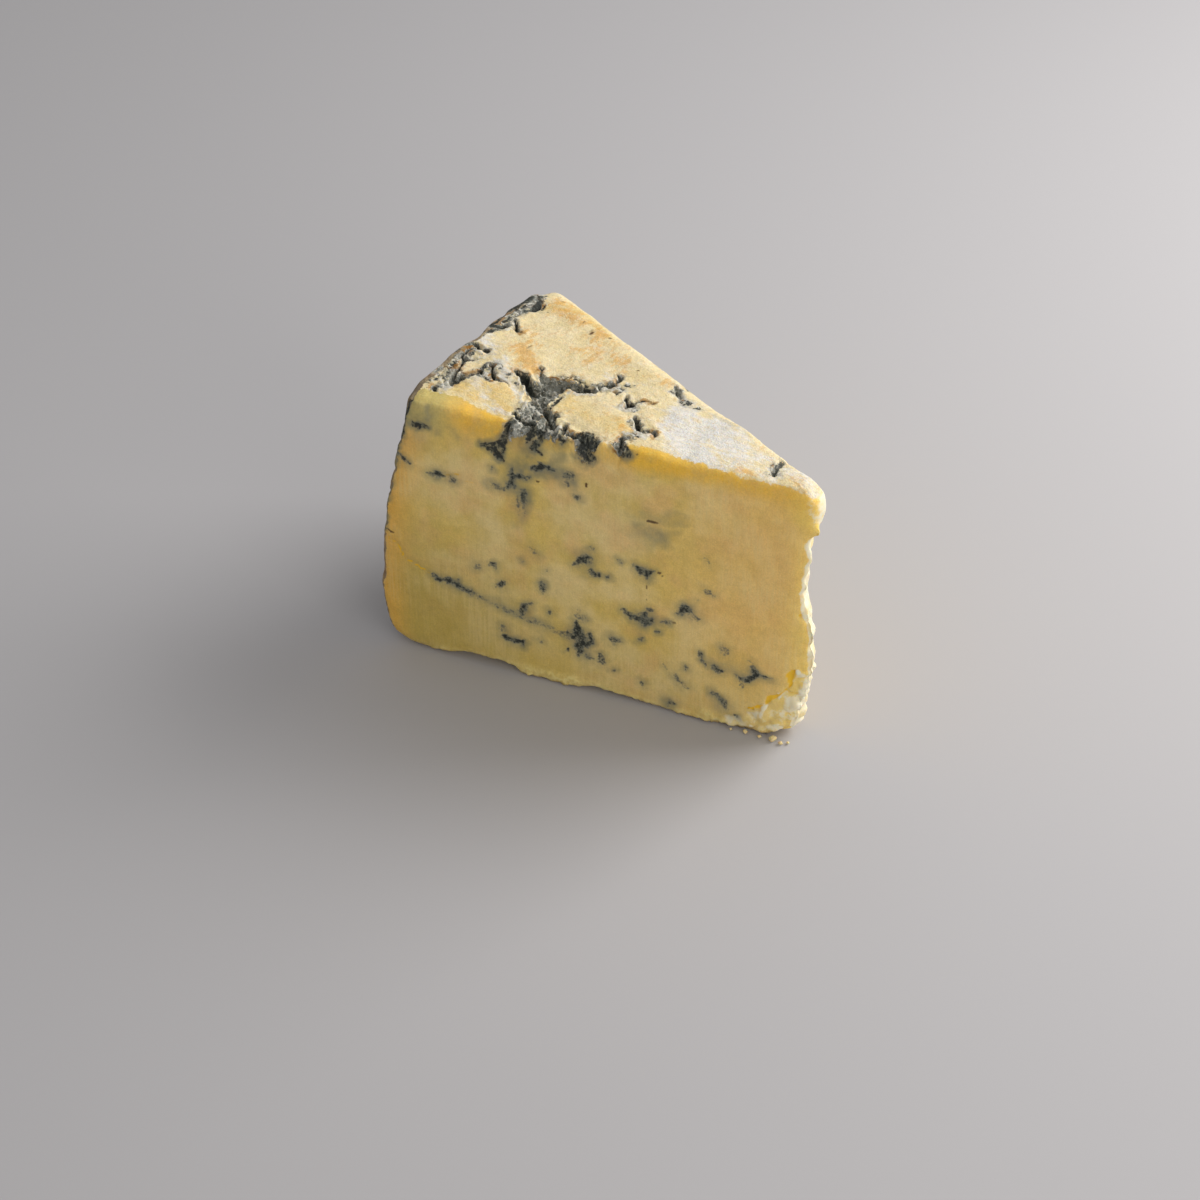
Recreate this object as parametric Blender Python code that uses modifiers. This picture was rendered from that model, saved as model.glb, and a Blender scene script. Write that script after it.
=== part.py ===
"""A wedge of Stilton: a slice of a turned wheel of blue cheese, cut by hand.

The wedge lies as it was served, on its flat underside. +X runs from the rind to the tip,
the wheel's axis is upright, and the two cut faces look to -Y and to +Y. The origin is the
middle of the underside.

The real thing is made by turning and cutting, and so is this one: a wheel's outline is swept
through the wedge's angle, its edges are rounded, and then the crust, the fissures, the broken
tip and the chipped underside are pressed into it by a few functions of place.
"""

import math

import bmesh
import bpy
from mathutils import Matrix, Vector, noise

# Driving dimensions, in metres and radians.
HEIGHT = 0.0675
WHEEL_RADIUS = 0.1065
HALF_ANGLE = math.radians(16.3)
CORE_RADIUS = 0.0095  # the sharp point of the slice broke off this far from the wheel's axis

# The rind's outline: it leans in above its widest place and turns under at the bottom.
WIDEST_HEIGHT = 0.016
SHOULDER_LEAN = 0.0092
FOOT_RADIUS = 0.0095
RIND_FLATTENING = 0.0006  # a wheel sags a little flatter where it lay against the shelf
SHOULDER_SWELL = 0.0036  # towards the back face the shoulder leans in less
SWELL_HEIGHTS = (0.25 * HEIGHT, HEIGHT)
SWELL_RADII = (0.70 * WHEEL_RADIUS, 0.96 * WHEEL_RADIUS)
SWELL_ANGLES = (-0.1 * HALF_ANGLE, 0.9 * HALF_ANGLE)
FLATTENED_FROM = 0.6 * WHEEL_RADIUS
RIND_DEPTHS = (-0.004, -0.0008)  # from here to here below the outline, a point becomes rind

# Edge roundings.
BACK_EDGE_ROUND = 0.0046
FRONT_EDGE_ROUND = 0.0016
CORNER_ROUND = 0.0013

# The broken tip: how far it reaches past the core, by height, and its row of curd beads.
TIP_REACH = (
    (0.000, -0.0052),
    (0.004, -0.0010),
    (0.011, -0.0004),
    (0.018, 0.0004),
    (0.023, 0.0007),
    (0.030, 0.0000),
    (0.041, -0.0022),
    (0.046, -0.0025),
    (0.050, -0.0018),
    (0.055, -0.0020),
    (0.058, 0.0005),
    (0.0615, 0.0014),
    (0.0645, 0.0011),
    (0.0675, -0.0014),
)
TIP_ZONE = 0.007  # how far back from the core the tip's shape reaches
BEAD_PITCH = 0.0045
BEAD_DEPTH = 0.0008
BULB_START = 0.0520  # between these heights the beads give way to one smooth bulb
BULB_HEIGHT = 0.0560

# The chipped front edge of the underside: distance from the wheel's axis, and rise.
EDGE_CHIPS = (
    (0.000, 0.0004),
    (0.024, 0.0006),
    (0.034, 0.0000),
    (0.047, 0.0009),
    (0.056, 0.0017),
    (0.061, 0.0000),
    (0.072, 0.0000),
    (0.0755, 0.0024),
    (0.085, 0.0026),
    (0.093, 0.0002),
    (0.110, 0.0000),
)
CHIP_REACH = 0.007
CHIP_HEIGHT = 0.006

# Fissures in the crust: where each runs (x, y from the wheel's axis), its half width and depth.
FISSURES = {
    "main": (
        (-0.0810, -0.0005, 0.0008, 0.0003),
        (-0.0780, -0.0030, 0.0018, 0.0011),
        (-0.0760, -0.0065, 0.0036, 0.0020),
        (-0.0730, -0.0085, 0.0034, 0.0022),
        (-0.0715, -0.0120, 0.0022, 0.0019),
        (-0.0695, -0.0160, 0.0022, 0.0017),
        (-0.0695, -0.0215, 0.0026, 0.0014),
    ),
    "across": (
        (-0.0750, -0.0035, 0.0016, 0.0012),
        (-0.0700, -0.0020, 0.0020, 0.0014),
        (-0.0660, -0.0008, 0.0018, 0.0012),
        (-0.0635, 0.0030, 0.0016, 0.0010),
        (-0.0615, 0.0060, 0.0012, 0.0006),
    ),
    "left_arm": (
        (-0.0830, -0.0048, 0.0008, 0.0003),
        (-0.0795, -0.0062, 0.0017, 0.0011),
        (-0.0760, -0.0070, 0.0020, 0.0017),
    ),
    "above_the_slab": (
        (-0.0885, -0.0058, 0.0008, 0.0004),
        (-0.0875, -0.0080, 0.0010, 0.0007),
        (-0.0850, -0.0096, 0.0010, 0.0007),
        (-0.0820, -0.0098, 0.0008, 0.0003),
    ),
    "beside_the_slab": (
        (-0.0890, -0.0095, 0.0010, 0.0006),
        (-0.0900, -0.0125, 0.0016, 0.0011),
        (-0.0912, -0.0155, 0.0018, 0.0011),
        (-0.0915, -0.0190, 0.0012, 0.0006),
    ),
    "front_rim": (
        (-0.0660, -0.0130, 0.0014, 0.0007),
        (-0.0645, -0.0165, 0.0018, 0.0009),
        (-0.0635, -0.0190, 0.0014, 0.0008),
    ),
    "rind_gap": (
        (-0.0945, -0.0038, 0.0010, 0.0004),
        (-0.0915, -0.0030, 0.0010, 0.0004),
    ),
    "rind_hollow": (
        (-0.0950, 0.0075, 0.0014, 0.0004),
        (-0.0925, 0.0090, 0.0010, 0.0003),
    ),
    "apex": (
        (-0.0945, 0.0185, 0.0014, 0.0004),
        (-0.0940, 0.0150, 0.0012, 0.0004),
    ),
    "star": (
        (-0.0575, 0.0015, 0.0010, 0.0006),
        (-0.0560, -0.0008, 0.0015, 0.0010),
        (-0.0550, -0.0025, 0.0008, 0.0005),
    ),
    "hook": (
        (-0.0520, -0.0035, 0.0010, 0.0007),
        (-0.0495, -0.0050, 0.0014, 0.0010),
        (-0.0470, -0.0062, 0.0012, 0.0008),
    ),
    "narrow": (
        (-0.0495, -0.0105, 0.0009, 0.0007),
        (-0.0483, -0.0145, 0.0011, 0.0010),
    ),
    "front_pit": (
        (-0.0595, -0.0150, 0.0018, 0.0008),
        (-0.0565, -0.0160, 0.0022, 0.0012),
        (-0.0545, -0.0170, 0.0016, 0.0008),
    ),
    "back_nick": (
        (-0.0525, 0.0110, 0.0008, 0.0004),
        (-0.0510, 0.0103, 0.0011, 0.0007),
        (-0.0490, 0.0088, 0.0008, 0.0004),
    ),
    "tip_pit": (
        (-0.0202, 0.0030, 0.0010, 0.0006),
        (-0.0195, 0.0005, 0.0012, 0.0008),
        (-0.0192, -0.0020, 0.0008, 0.0005),
    ),
}

# Where fissures break out through the front cut face (distance from the axis, height).
FRONT_FISSURES = {
    "main": (
        (0.0730, 0.0680, 0.0022, 0.0011),
        (0.0750, 0.0640, 0.0015, 0.0009),
        (0.0768, 0.0600, 0.0015, 0.0007),
        (0.0770, 0.0580, 0.0009, 0.0004),
    ),
    "front_rim": (
        (0.0690, 0.0680, 0.0016, 0.0007),
        (0.0685, 0.0640, 0.0010, 0.0004),
    ),
    "front_pit": (
        (0.0590, 0.0672, 0.0022, 0.0009),
        (0.0575, 0.0635, 0.0016, 0.0009),
    ),
    "narrow": (
        (0.0500, 0.0680, 0.0012, 0.0006),
        (0.0492, 0.0655, 0.0010, 0.0004),
    ),
    "corner": (
        (0.0955, 0.0618, 0.0010, 0.0005),
        (0.0930, 0.0622, 0.0010, 0.0005),
    ),
}
FISSURE_ZONE = 0.011  # the crust closes up again this far below the top
FISSURE_WALL = (0.55, 1.25)  # a fissure's wall, as shares of its half width
FRONT_DEPTHS = (0.002, 0.005)  # how far behind the front face its own fissures reach

# The broken surface's unevenness: how far it strays, and over what distance.
RIND_WRINKLE = (0.0007, 0.0060)
RIND_GRAIN = (0.0005, 0.0028)
KNIFE_WAVE = (0.00045, 0.0220)
BEAD_SLANT = (0.0030, 0.0080)
BEAD_UNEVEN = (1.6, 0.0050)
CRUST_SWELL = (0.0009, 0.0170)
CRUST_LUMPS = (0.0004, 0.0060)
FISSURE_WANDER = (0.0012, 0.0035)

# Mesh sizes.
RIND_ROWS = 18
FOOT_ROWS = (0.22, 0.12, 0.05, 0.0)
ROUNDING_SEGMENTS = 4
SHARP_ANGLE = math.radians(48.0)
SWEEP_STEPS = 12
VOXEL = 0.0011
SOFTEN_STEPS = 5
TRIANGLES = 6400
TRIM = 0.0004  # the base is planed by this much, so that it is truly flat

CHEESE_COLOUR = (0.62, 0.42, 0.14, 1.0)
CHEESE_ROUGHNESS = 0.45


def stray(point, kind):
    """A seeded random swing at a point, as far and as coarse as its kind says."""
    reach, span = kind
    return reach * noise.noise(point / span)


def smooth(low, high, value):
    """0 below low, 1 above high, and a soft ramp between."""
    t = min(max((value - low) / (high - low), 0.0), 1.0)
    return t * t * (3.0 - 2.0 * t)


def along(table, place):
    """Reads a table of (place, value) with a soft ramp between neighbours."""
    for (low, before), (high, after) in zip(table, table[1:]):
        if place <= high:
            return before + (after - before) * smooth(low, high, place)
    return table[-1][1]


def rind_radius(height):
    """The wheel's radius at a height, with its leaning shoulder and rounded foot."""
    lean = max(height - WIDEST_HEIGHT, 0.0) / (HEIGHT - WIDEST_HEIGHT)
    foot = max(FOOT_RADIUS - height, 0.0) / FOOT_RADIUS
    turned_under = FOOT_RADIUS * (1.0 - math.sqrt(max(1.0 - foot * foot, 0.0)))
    return WHEEL_RADIUS - SHOULDER_LEAN * lean**1.6 - turned_under


def wheel_outline():
    """The outline that is swept: over the top, down the rind, and back under to the core."""
    heights = [HEIGHT * (1.0 - row / RIND_ROWS) for row in range(RIND_ROWS)]
    heights += [FOOT_RADIUS * share for share in FOOT_ROWS]
    rind = [(rind_radius(height), height) for height in heights]
    return [(CORE_RADIUS, HEIGHT)] + rind + [(CORE_RADIUS, 0.0)]


def swept_sector():
    """Sweeps the outline through the wedge's angle and closes the two cut faces."""
    mesh = bpy.data.meshes.new("outline")
    points = [(radius, 0.0, height) for radius, height in wheel_outline()]
    edges = [(i, (i + 1) % len(points)) for i in range(len(points))]
    mesh.from_pydata(points, edges, [])
    outline = bpy.data.objects.new("outline", mesh)
    bpy.context.scene.collection.objects.link(outline)
    sweep = outline.modifiers.new("sweep", "SCREW")
    sweep.axis = "Z"
    sweep.angle = 2.0 * HALF_ANGLE
    sweep.steps = SWEEP_STEPS
    sweep.render_steps = SWEEP_STEPS
    sweep.use_merge_vertices = False
    sector = bpy.data.meshes.new_from_object(evaluated(outline))
    bpy.data.objects.remove(outline)
    sector.transform(Matrix.Rotation(math.pi - HALF_ANGLE, 4, "Z"))
    bm = bmesh.new()
    bm.from_mesh(sector)
    bmesh.ops.holes_fill(bm, edges=[e for e in bm.edges if e.is_boundary], sides=0)
    bmesh.ops.recalc_face_normals(bm, faces=bm.faces)
    bm.to_mesh(sector)
    bm.free()
    return sector


def evaluated(obj):
    """The object with its modifiers worked out."""
    bpy.context.view_layer.update()
    return obj.evaluated_get(bpy.context.evaluated_depsgraph_get())


def angle_of(point):
    """The point's angle about the wheel's axis, from 0 on the wedge's middle line."""
    return math.atan2(point.y, -point.x)


def mark_roundings(mesh):
    """Gives each sharp edge of the cut faces its share of the widest rounding."""
    bm = bmesh.new()
    bm.from_mesh(mesh)
    weight = bm.edges.layers.float.new("bevel_weight_edge")
    for edge in bm.edges:
        middle = (edge.verts[0].co + edge.verts[1].co) / 2.0
        sharp = edge.calc_face_angle(0.0) > SHARP_ANGLE
        if not sharp:
            continue
        on_top = middle.z > HEIGHT - 1e-6
        if on_top and angle_of(middle) > HALF_ANGLE - 1e-4:
            edge[weight] = 1.0
        elif on_top:
            edge[weight] = FRONT_EDGE_ROUND / BACK_EDGE_ROUND
        elif middle.z > 1e-6:
            edge[weight] = CORNER_ROUND / BACK_EDGE_ROUND
    bm.to_mesh(mesh)
    bm.free()


def opening(routes, place):
    """How deep the paste has opened at a place: the deepest of the routes there."""
    here = Vector((place.x, place.y, 0.0))
    elsewhere = here + Vector((0.0, 0.0, 0.1))
    place = place + Vector((stray(here, FISSURE_WANDER), stray(elsewhere, FISSURE_WANDER)))
    deepest = 0.0
    for route in routes.values():
        for start, end in zip(route, route[1:]):
            a = Vector(start[:2])
            run = Vector(end[:2]) - a
            share = min(max((place - a).dot(run) / run.length_squared, 0.0), 1.0)
            width = start[2] + (end[2] - start[2]) * share
            depth = start[3] + (end[3] - start[3]) * share
            off = (place - a - run * share).length
            inner, outer = FISSURE_WALL
            deepest = max(deepest, depth * (1.0 - smooth(inner * width, outer * width, off)))
    return deepest


def pressed(point):
    """Where a point of the smooth wedge lies on the real one."""
    p = point.copy()
    radius = math.hypot(p.x, p.y)
    angle = angle_of(p)
    outwards = Vector((p.x, p.y, 0.0)) / radius

    # The rind: flatter than the wheel's arc, fuller at the back, and wrinkled.
    on_rind = smooth(*RIND_DEPTHS, radius - rind_radius(p.z))
    bulge = 1.0 - (angle / HALF_ANGLE) ** 2
    flatter = RIND_FLATTENING * bulge * smooth(FLATTENED_FROM, WHEEL_RADIUS, radius)
    wrinkle = stray(p, RIND_WRINKLE) + stray(p, RIND_GRAIN)
    raised = smooth(*SWELL_HEIGHTS, point.z) * smooth(*SWELL_RADII, radius)
    swell = SHOULDER_SWELL * raised * smooth(*SWELL_ANGLES, angle)
    p += outwards * (swell - max(flatter, 0.0) + on_rind * wrinkle)

    # The cut faces: almost flat, with the slow wave of a hand-held knife.
    across = Vector((math.sin(angle), math.cos(angle), 0.0))
    off_middle = angle / HALF_ANGLE
    p += across * off_middle * stray(Vector((p.x, 3.0 * p.y, p.z)), KNIFE_WAVE)
    on_front = 1.0 - smooth(*FRONT_DEPTHS, (angle + HALF_ANGLE) * radius)
    p += across * on_front * opening(FRONT_FISSURES, Vector((radius, point.z)))

    # The broken tip: its uneven reach and its beads of torn curd.
    at_tip = 1.0 - smooth(CORE_RADIUS, CORE_RADIUS + TIP_ZONE, radius)
    edge_place = Vector((0.0, p.y, p.z))
    slant = p.z + stray(edge_place, BEAD_SLANT)
    bead = BEAD_DEPTH * abs(math.sin(math.pi * slant / BEAD_PITCH))
    below_bulb = 1.0 - smooth(BULB_START, BULB_HEIGHT, p.z)
    reach = along(TIP_REACH, p.z) + below_bulb * bead * (1.0 + stray(edge_place, BEAD_UNEVEN))
    p.x += at_tip * reach

    # The crust: a low dome that falls towards its edges, and its fissures.
    under_crust = smooth(HEIGHT - FISSURE_ZONE, HEIGHT - 0.0005, point.z)
    crust = stray(Vector((p.x, p.y, 0.3)), CRUST_SWELL) + stray(Vector((p.x, p.y, 0.9)), CRUST_LUMPS)
    p.z += under_crust * (crust - opening(FISSURES, Vector((point.x, point.y))))

    # The underside's chipped front edge.
    near_front = 1.0 - smooth(0.0, CHIP_REACH, (angle + HALF_ANGLE) * radius)
    near_base = 1.0 - smooth(0.0, CHIP_HEIGHT, point.z)
    p.z += near_front * near_base * along(EDGE_CHIPS, radius)
    return p


def remeshed(mesh):
    """Rounds the marked edges, then covers the wedge with small even faces."""
    obj = bpy.data.objects.new("blank", mesh)
    bpy.context.scene.collection.objects.link(obj)
    rounding = obj.modifiers.new("rounding", "BEVEL")
    rounding.limit_method = "WEIGHT"
    rounding.width = BACK_EDGE_ROUND
    rounding.segments = ROUNDING_SEGMENTS
    rounding.use_clamp_overlap = False
    remesh = obj.modifiers.new("even faces", "REMESH")
    remesh.mode = "VOXEL"
    remesh.voxel_size = VOXEL
    soften = obj.modifiers.new("soften", "SMOOTH")
    soften.factor = 0.5
    soften.iterations = SOFTEN_STEPS
    result = bpy.data.meshes.new_from_object(evaluated(obj))
    bpy.data.objects.remove(obj)
    return result


def planed(mesh):
    """Cuts the underside flat, closes it, and sets the origin at the middle of it."""
    bm = bmesh.new()
    bm.from_mesh(mesh)
    everything = bm.verts[:] + bm.edges[:] + bm.faces[:]
    cut = bmesh.ops.bisect_plane(
        bm, geom=everything, dist=1e-7, plane_co=(0, 0, TRIM), plane_no=(0, 0, -1), clear_outer=True
    )
    rim = [e for e in cut["geom_cut"] if isinstance(e, bmesh.types.BMEdge)]
    bmesh.ops.contextual_create(bm, geom=rim)
    bmesh.ops.triangulate(bm, faces=bm.faces)
    bmesh.ops.recalc_face_normals(bm, faces=bm.faces)
    xs = [v.co.x for v in bm.verts]
    ys = [v.co.y for v in bm.verts]
    middle = Vector((min(xs) + max(xs), min(ys) + max(ys), 2.0 * TRIM)) / 2.0
    bmesh.ops.translate(bm, vec=-middle, verts=bm.verts)
    bm.to_mesh(mesh)
    bm.free()
    print(f"wheel axis at x {-middle.x:.5f}, y {-middle.y:.5f}")


def cheese_material():
    """Pale yellow, slightly waxy paste."""
    material = bpy.data.materials.new("stilton paste")
    material.use_nodes = True
    shader = material.node_tree.nodes["Principled BSDF"]
    shader.inputs["Base Color"].default_value = CHEESE_COLOUR
    shader.inputs["Roughness"].default_value = CHEESE_ROUGHNESS
    shader.inputs["Metallic"].default_value = 0.0
    return material


def make_wedge(collection):
    """The one solid: swept, rounded, pressed into its real form and thinned to fewer faces."""
    sector = swept_sector()
    mark_roundings(sector)
    mesh = remeshed(sector)
    for vertex in mesh.vertices:
        vertex.co = pressed(vertex.co)
    fine = bpy.data.objects.new("fine", mesh)
    bpy.context.scene.collection.objects.link(fine)
    mesh.calc_loop_triangles()
    thin = fine.modifiers.new("fewer faces", "DECIMATE")
    thin.ratio = TRIANGLES / len(mesh.loop_triangles)
    thinned = bpy.data.meshes.new_from_object(evaluated(fine))
    bpy.data.objects.remove(fine)
    planed(thinned)
    thinned.name = "stilton_wedge"
    thinned.materials.clear()
    thinned.materials.append(cheese_material())
    thinned.shade_smooth()
    thinned.set_sharp_from_angle(angle=SHARP_ANGLE)
    wedge = bpy.data.objects.new("stilton_wedge", thinned)
    collection.objects.link(wedge)
    return wedge


def main():
    for obj in list(bpy.data.objects):
        bpy.data.objects.remove(obj)
    collection = bpy.data.collections.new("stilton wedge")
    bpy.context.scene.collection.children.link(collection)
    make_wedge(collection)


main()
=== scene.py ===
# %% [markdown]
# # A wedge of blue cheese
#
# The real thing is a slice of a turned wheel: a rind side, two cut faces, a dry crust on top and a tip
# that broke off where the slice met the wheel's middle. Its shape was settled as a plain solid, the
# frame. This file gives it a surface. We start by loading that solid, and we keep its box, because the
# finished cheese may hardly be larger than it.

import math
import random

import bmesh
import bpy
import numpy as np
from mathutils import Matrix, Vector, noise


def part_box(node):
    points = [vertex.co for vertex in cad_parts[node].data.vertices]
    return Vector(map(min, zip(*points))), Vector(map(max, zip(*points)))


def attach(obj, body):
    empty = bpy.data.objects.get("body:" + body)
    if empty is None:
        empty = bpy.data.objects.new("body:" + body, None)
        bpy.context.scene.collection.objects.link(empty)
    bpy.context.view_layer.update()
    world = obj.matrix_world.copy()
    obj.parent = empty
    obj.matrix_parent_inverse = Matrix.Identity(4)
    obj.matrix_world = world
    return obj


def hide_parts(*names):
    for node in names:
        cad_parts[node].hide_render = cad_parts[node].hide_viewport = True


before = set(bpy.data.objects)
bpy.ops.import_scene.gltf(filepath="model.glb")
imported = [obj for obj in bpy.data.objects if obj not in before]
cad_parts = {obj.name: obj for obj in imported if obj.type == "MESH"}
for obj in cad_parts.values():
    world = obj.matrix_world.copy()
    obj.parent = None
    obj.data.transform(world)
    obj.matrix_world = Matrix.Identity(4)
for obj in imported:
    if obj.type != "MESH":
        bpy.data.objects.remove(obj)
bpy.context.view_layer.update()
NODE = "stilton_wedge"
LOW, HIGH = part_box(NODE)
MM = 0.001
print("solid, mm:", [round(size / MM, 1) for size in HIGH - LOW])

# %% [markdown]
# ## Where things are on a slice
#
# A slice is easiest to describe as its maker sees it: from the wheel's axis. The axis stands just
# outside the broken tip. A place on the front cut face is then a distance from the axis and a height,
# and a place on the crust is an x and a y from the axis. We measure all of them in millimetres, which
# suits given values, and turn them into points of the frame with two small functions.

# %% The wheel's measures
WHEEL_REACH = 106.35 * MM  # from the wheel's axis to the rind's widest place
AXIS_X = LOW.x + WHEEL_REACH
HALF_ANGLE = math.radians(16.3)
HEIGHT = 67.0 * MM  # the crust's usual height
FRONT_ALONG = np.array((math.cos(HALF_ANGLE), math.sin(HALF_ANGLE), 0.0))
FRONT_OUT = np.array((math.sin(HALF_ANGLE), -math.cos(HALF_ANGLE), 0.0))
BACK_ALONG = FRONT_ALONG * (1, -1, 1)
BACK_OUT = FRONT_OUT * (1, -1, 1)


def on_front(along, height):
    """The point of the front cut face that is so far from the axis and so high, in mm."""
    return np.array((AXIS_X, 0.0, height * MM)) - FRONT_ALONG * along * MM


def on_back(along, height):
    """The same on the back cut face."""
    return np.array((AXIS_X, 0.0, height * MM)) - BACK_ALONG * along * MM


def on_crust(x, y):
    """The point of the crust at x and y mm from the axis."""
    return np.array((AXIS_X + x * MM, y * MM, HEIGHT))


print("front top corner at the rind:", np.round(on_front(97, 67), 4))

# %% [markdown]
# ## A fine skin
#
# The solid has a few thousand faces, which is right for weighing and dropping but far too coarse for
# crumbs and knife marks. We copy its mesh, round off its facets with one level of Subdivision Surface,
# cover it with faces of about half a millimetre by a voxel Remesh, and relax the result a little. Every small
# relief comes later, as moves of these points. A sculptor would do the same with a clay blank.

# %% Copy, remesh and relax
VOXEL = 0.62 * MM
RELAX_STEPS = 6


def fine_copy(source, name):
    """A new object with the source's form, covered by small even faces."""
    piece = bpy.data.objects.new(name, source.data.copy())
    bpy.context.scene.collection.objects.link(piece)
    weld = piece.modifiers.new("weld", "WELD")
    weld.merge_threshold = 0.00001
    rounder = piece.modifiers.new("rounder", "SUBSURF")
    rounder.levels = 1
    remesh = piece.modifiers.new("fine skin", "REMESH")
    remesh.mode = "VOXEL"
    remesh.voxel_size = VOXEL
    relax = piece.modifiers.new("relax", "SMOOTH")
    relax.factor = 0.5
    relax.iterations = RELAX_STEPS
    bpy.context.view_layer.update()
    evaluated = piece.evaluated_get(bpy.context.evaluated_depsgraph_get())
    mesh = bpy.data.meshes.new_from_object(evaluated)
    piece.modifiers.clear()
    piece.data = mesh
    return piece


wedge = fine_copy(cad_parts[NODE], "cheese_wedge")
wedge.data.name = "cheese wedge"
print("fine skin:", len(wedge.data.vertices), "points,", len(wedge.data.polygons), "faces")

# %% [markdown]
# ## Tools for moving and marking points
#
# All points are moved at once with numpy. Three helpers do most of the work: a soft step, a smooth
# random field, and a field that is strong near a route. A route is a line of given stops, each
# with a place, a half width in mm and a strength. Veins, cracks and fissures are all routes.

# %% Helpers
def points_of(mesh):
    """The mesh's points as an array of rows."""
    flat = np.zeros(len(mesh.vertices) * 3, np.float32)
    mesh.vertices.foreach_get("co", flat)
    return flat.reshape(-1, 3).astype(float)


def normals_of(mesh):
    """The directions that the mesh's points face."""
    flat = np.zeros(len(mesh.vertices) * 3, np.float32)
    mesh.vertex_normals.foreach_get("vector", flat)
    return flat.reshape(-1, 3).astype(float)


def set_points(mesh, points):
    """Moves the mesh's points to these places."""
    mesh.vertices.foreach_set("co", points.astype(np.float32).ravel())
    mesh.update()


def step(low, high, value):
    """0 below low, 1 above high, and a soft ramp between."""
    t = np.clip((value - low) / (high - low), 0.0, 1.0)
    return t * t * (3.0 - 2.0 * t)


def lumps(points, size, seed=0):
    """A smooth random field from about -1 to 1, with a lump about every size mm."""
    shift = Vector((seed * 17.3, seed * 5.1, seed * 9.7))
    places = points / (size * MM)
    return np.array([noise.noise(Vector(place) + shift) for place in places])


def near_routes(points, routes, wider=1.0, margin=0.0, edge=(0.25, 1.35), solid=False):
    """How strongly each point feels the routes: a stop's strength on it, 0 past its half width.

    With solid, every stop counts as 1.
    """
    felt = np.zeros(len(points))
    for route in routes:
        ends = route[1:] or route
        for (start, w0, s0), (end, w1, s1) in zip(route, ends):
            reach = (max(w0, w1) * wider + margin) * edge[1] * MM
            low, high = np.minimum(start, end) - reach, np.maximum(start, end) + reach
            close = np.flatnonzero(np.all((points > low) & (points < high), axis=1))
            there = points[close]
            run = end - start
            length = run @ run
            share = np.clip((there - start) @ run / length, 0.0, 1.0) if length else np.zeros(len(close))
            off = np.linalg.norm(there - start - share[:, None] * run, axis=1)
            width = ((w0 + (w1 - w0) * share) * wider + margin) * MM
            strength = 1.0 if solid else s0 + (s1 - s0) * share
            felt[close] = np.maximum(felt[close], strength * (1.0 - step(*edge, off / width)))
    return felt


def curds(points, size, seed, where):
    """Rounded lumps side by side, of about size mm: 0 in the clefts between them, 1 at their middles."""
    shift = Vector((seed * 7.1, seed * 3.3, seed * 11.9))
    values = np.zeros(len(points))
    for index in np.flatnonzero(where > 0.01):
        distances, _ = noise.voronoi(Vector(points[index] / (size * MM)) + shift)
        values[index] = min((distances[1] - distances[0]) * 1.7, 1.0)
    return values


def routes_on(face, stops_by_route):
    """Turns routes of (first, second, half width, strength) on a face into routes of points."""
    return [[(face(a, b), width, strength) for a, b, width, strength in stops] for stops in stops_by_route]


print("helpers ready")
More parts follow.
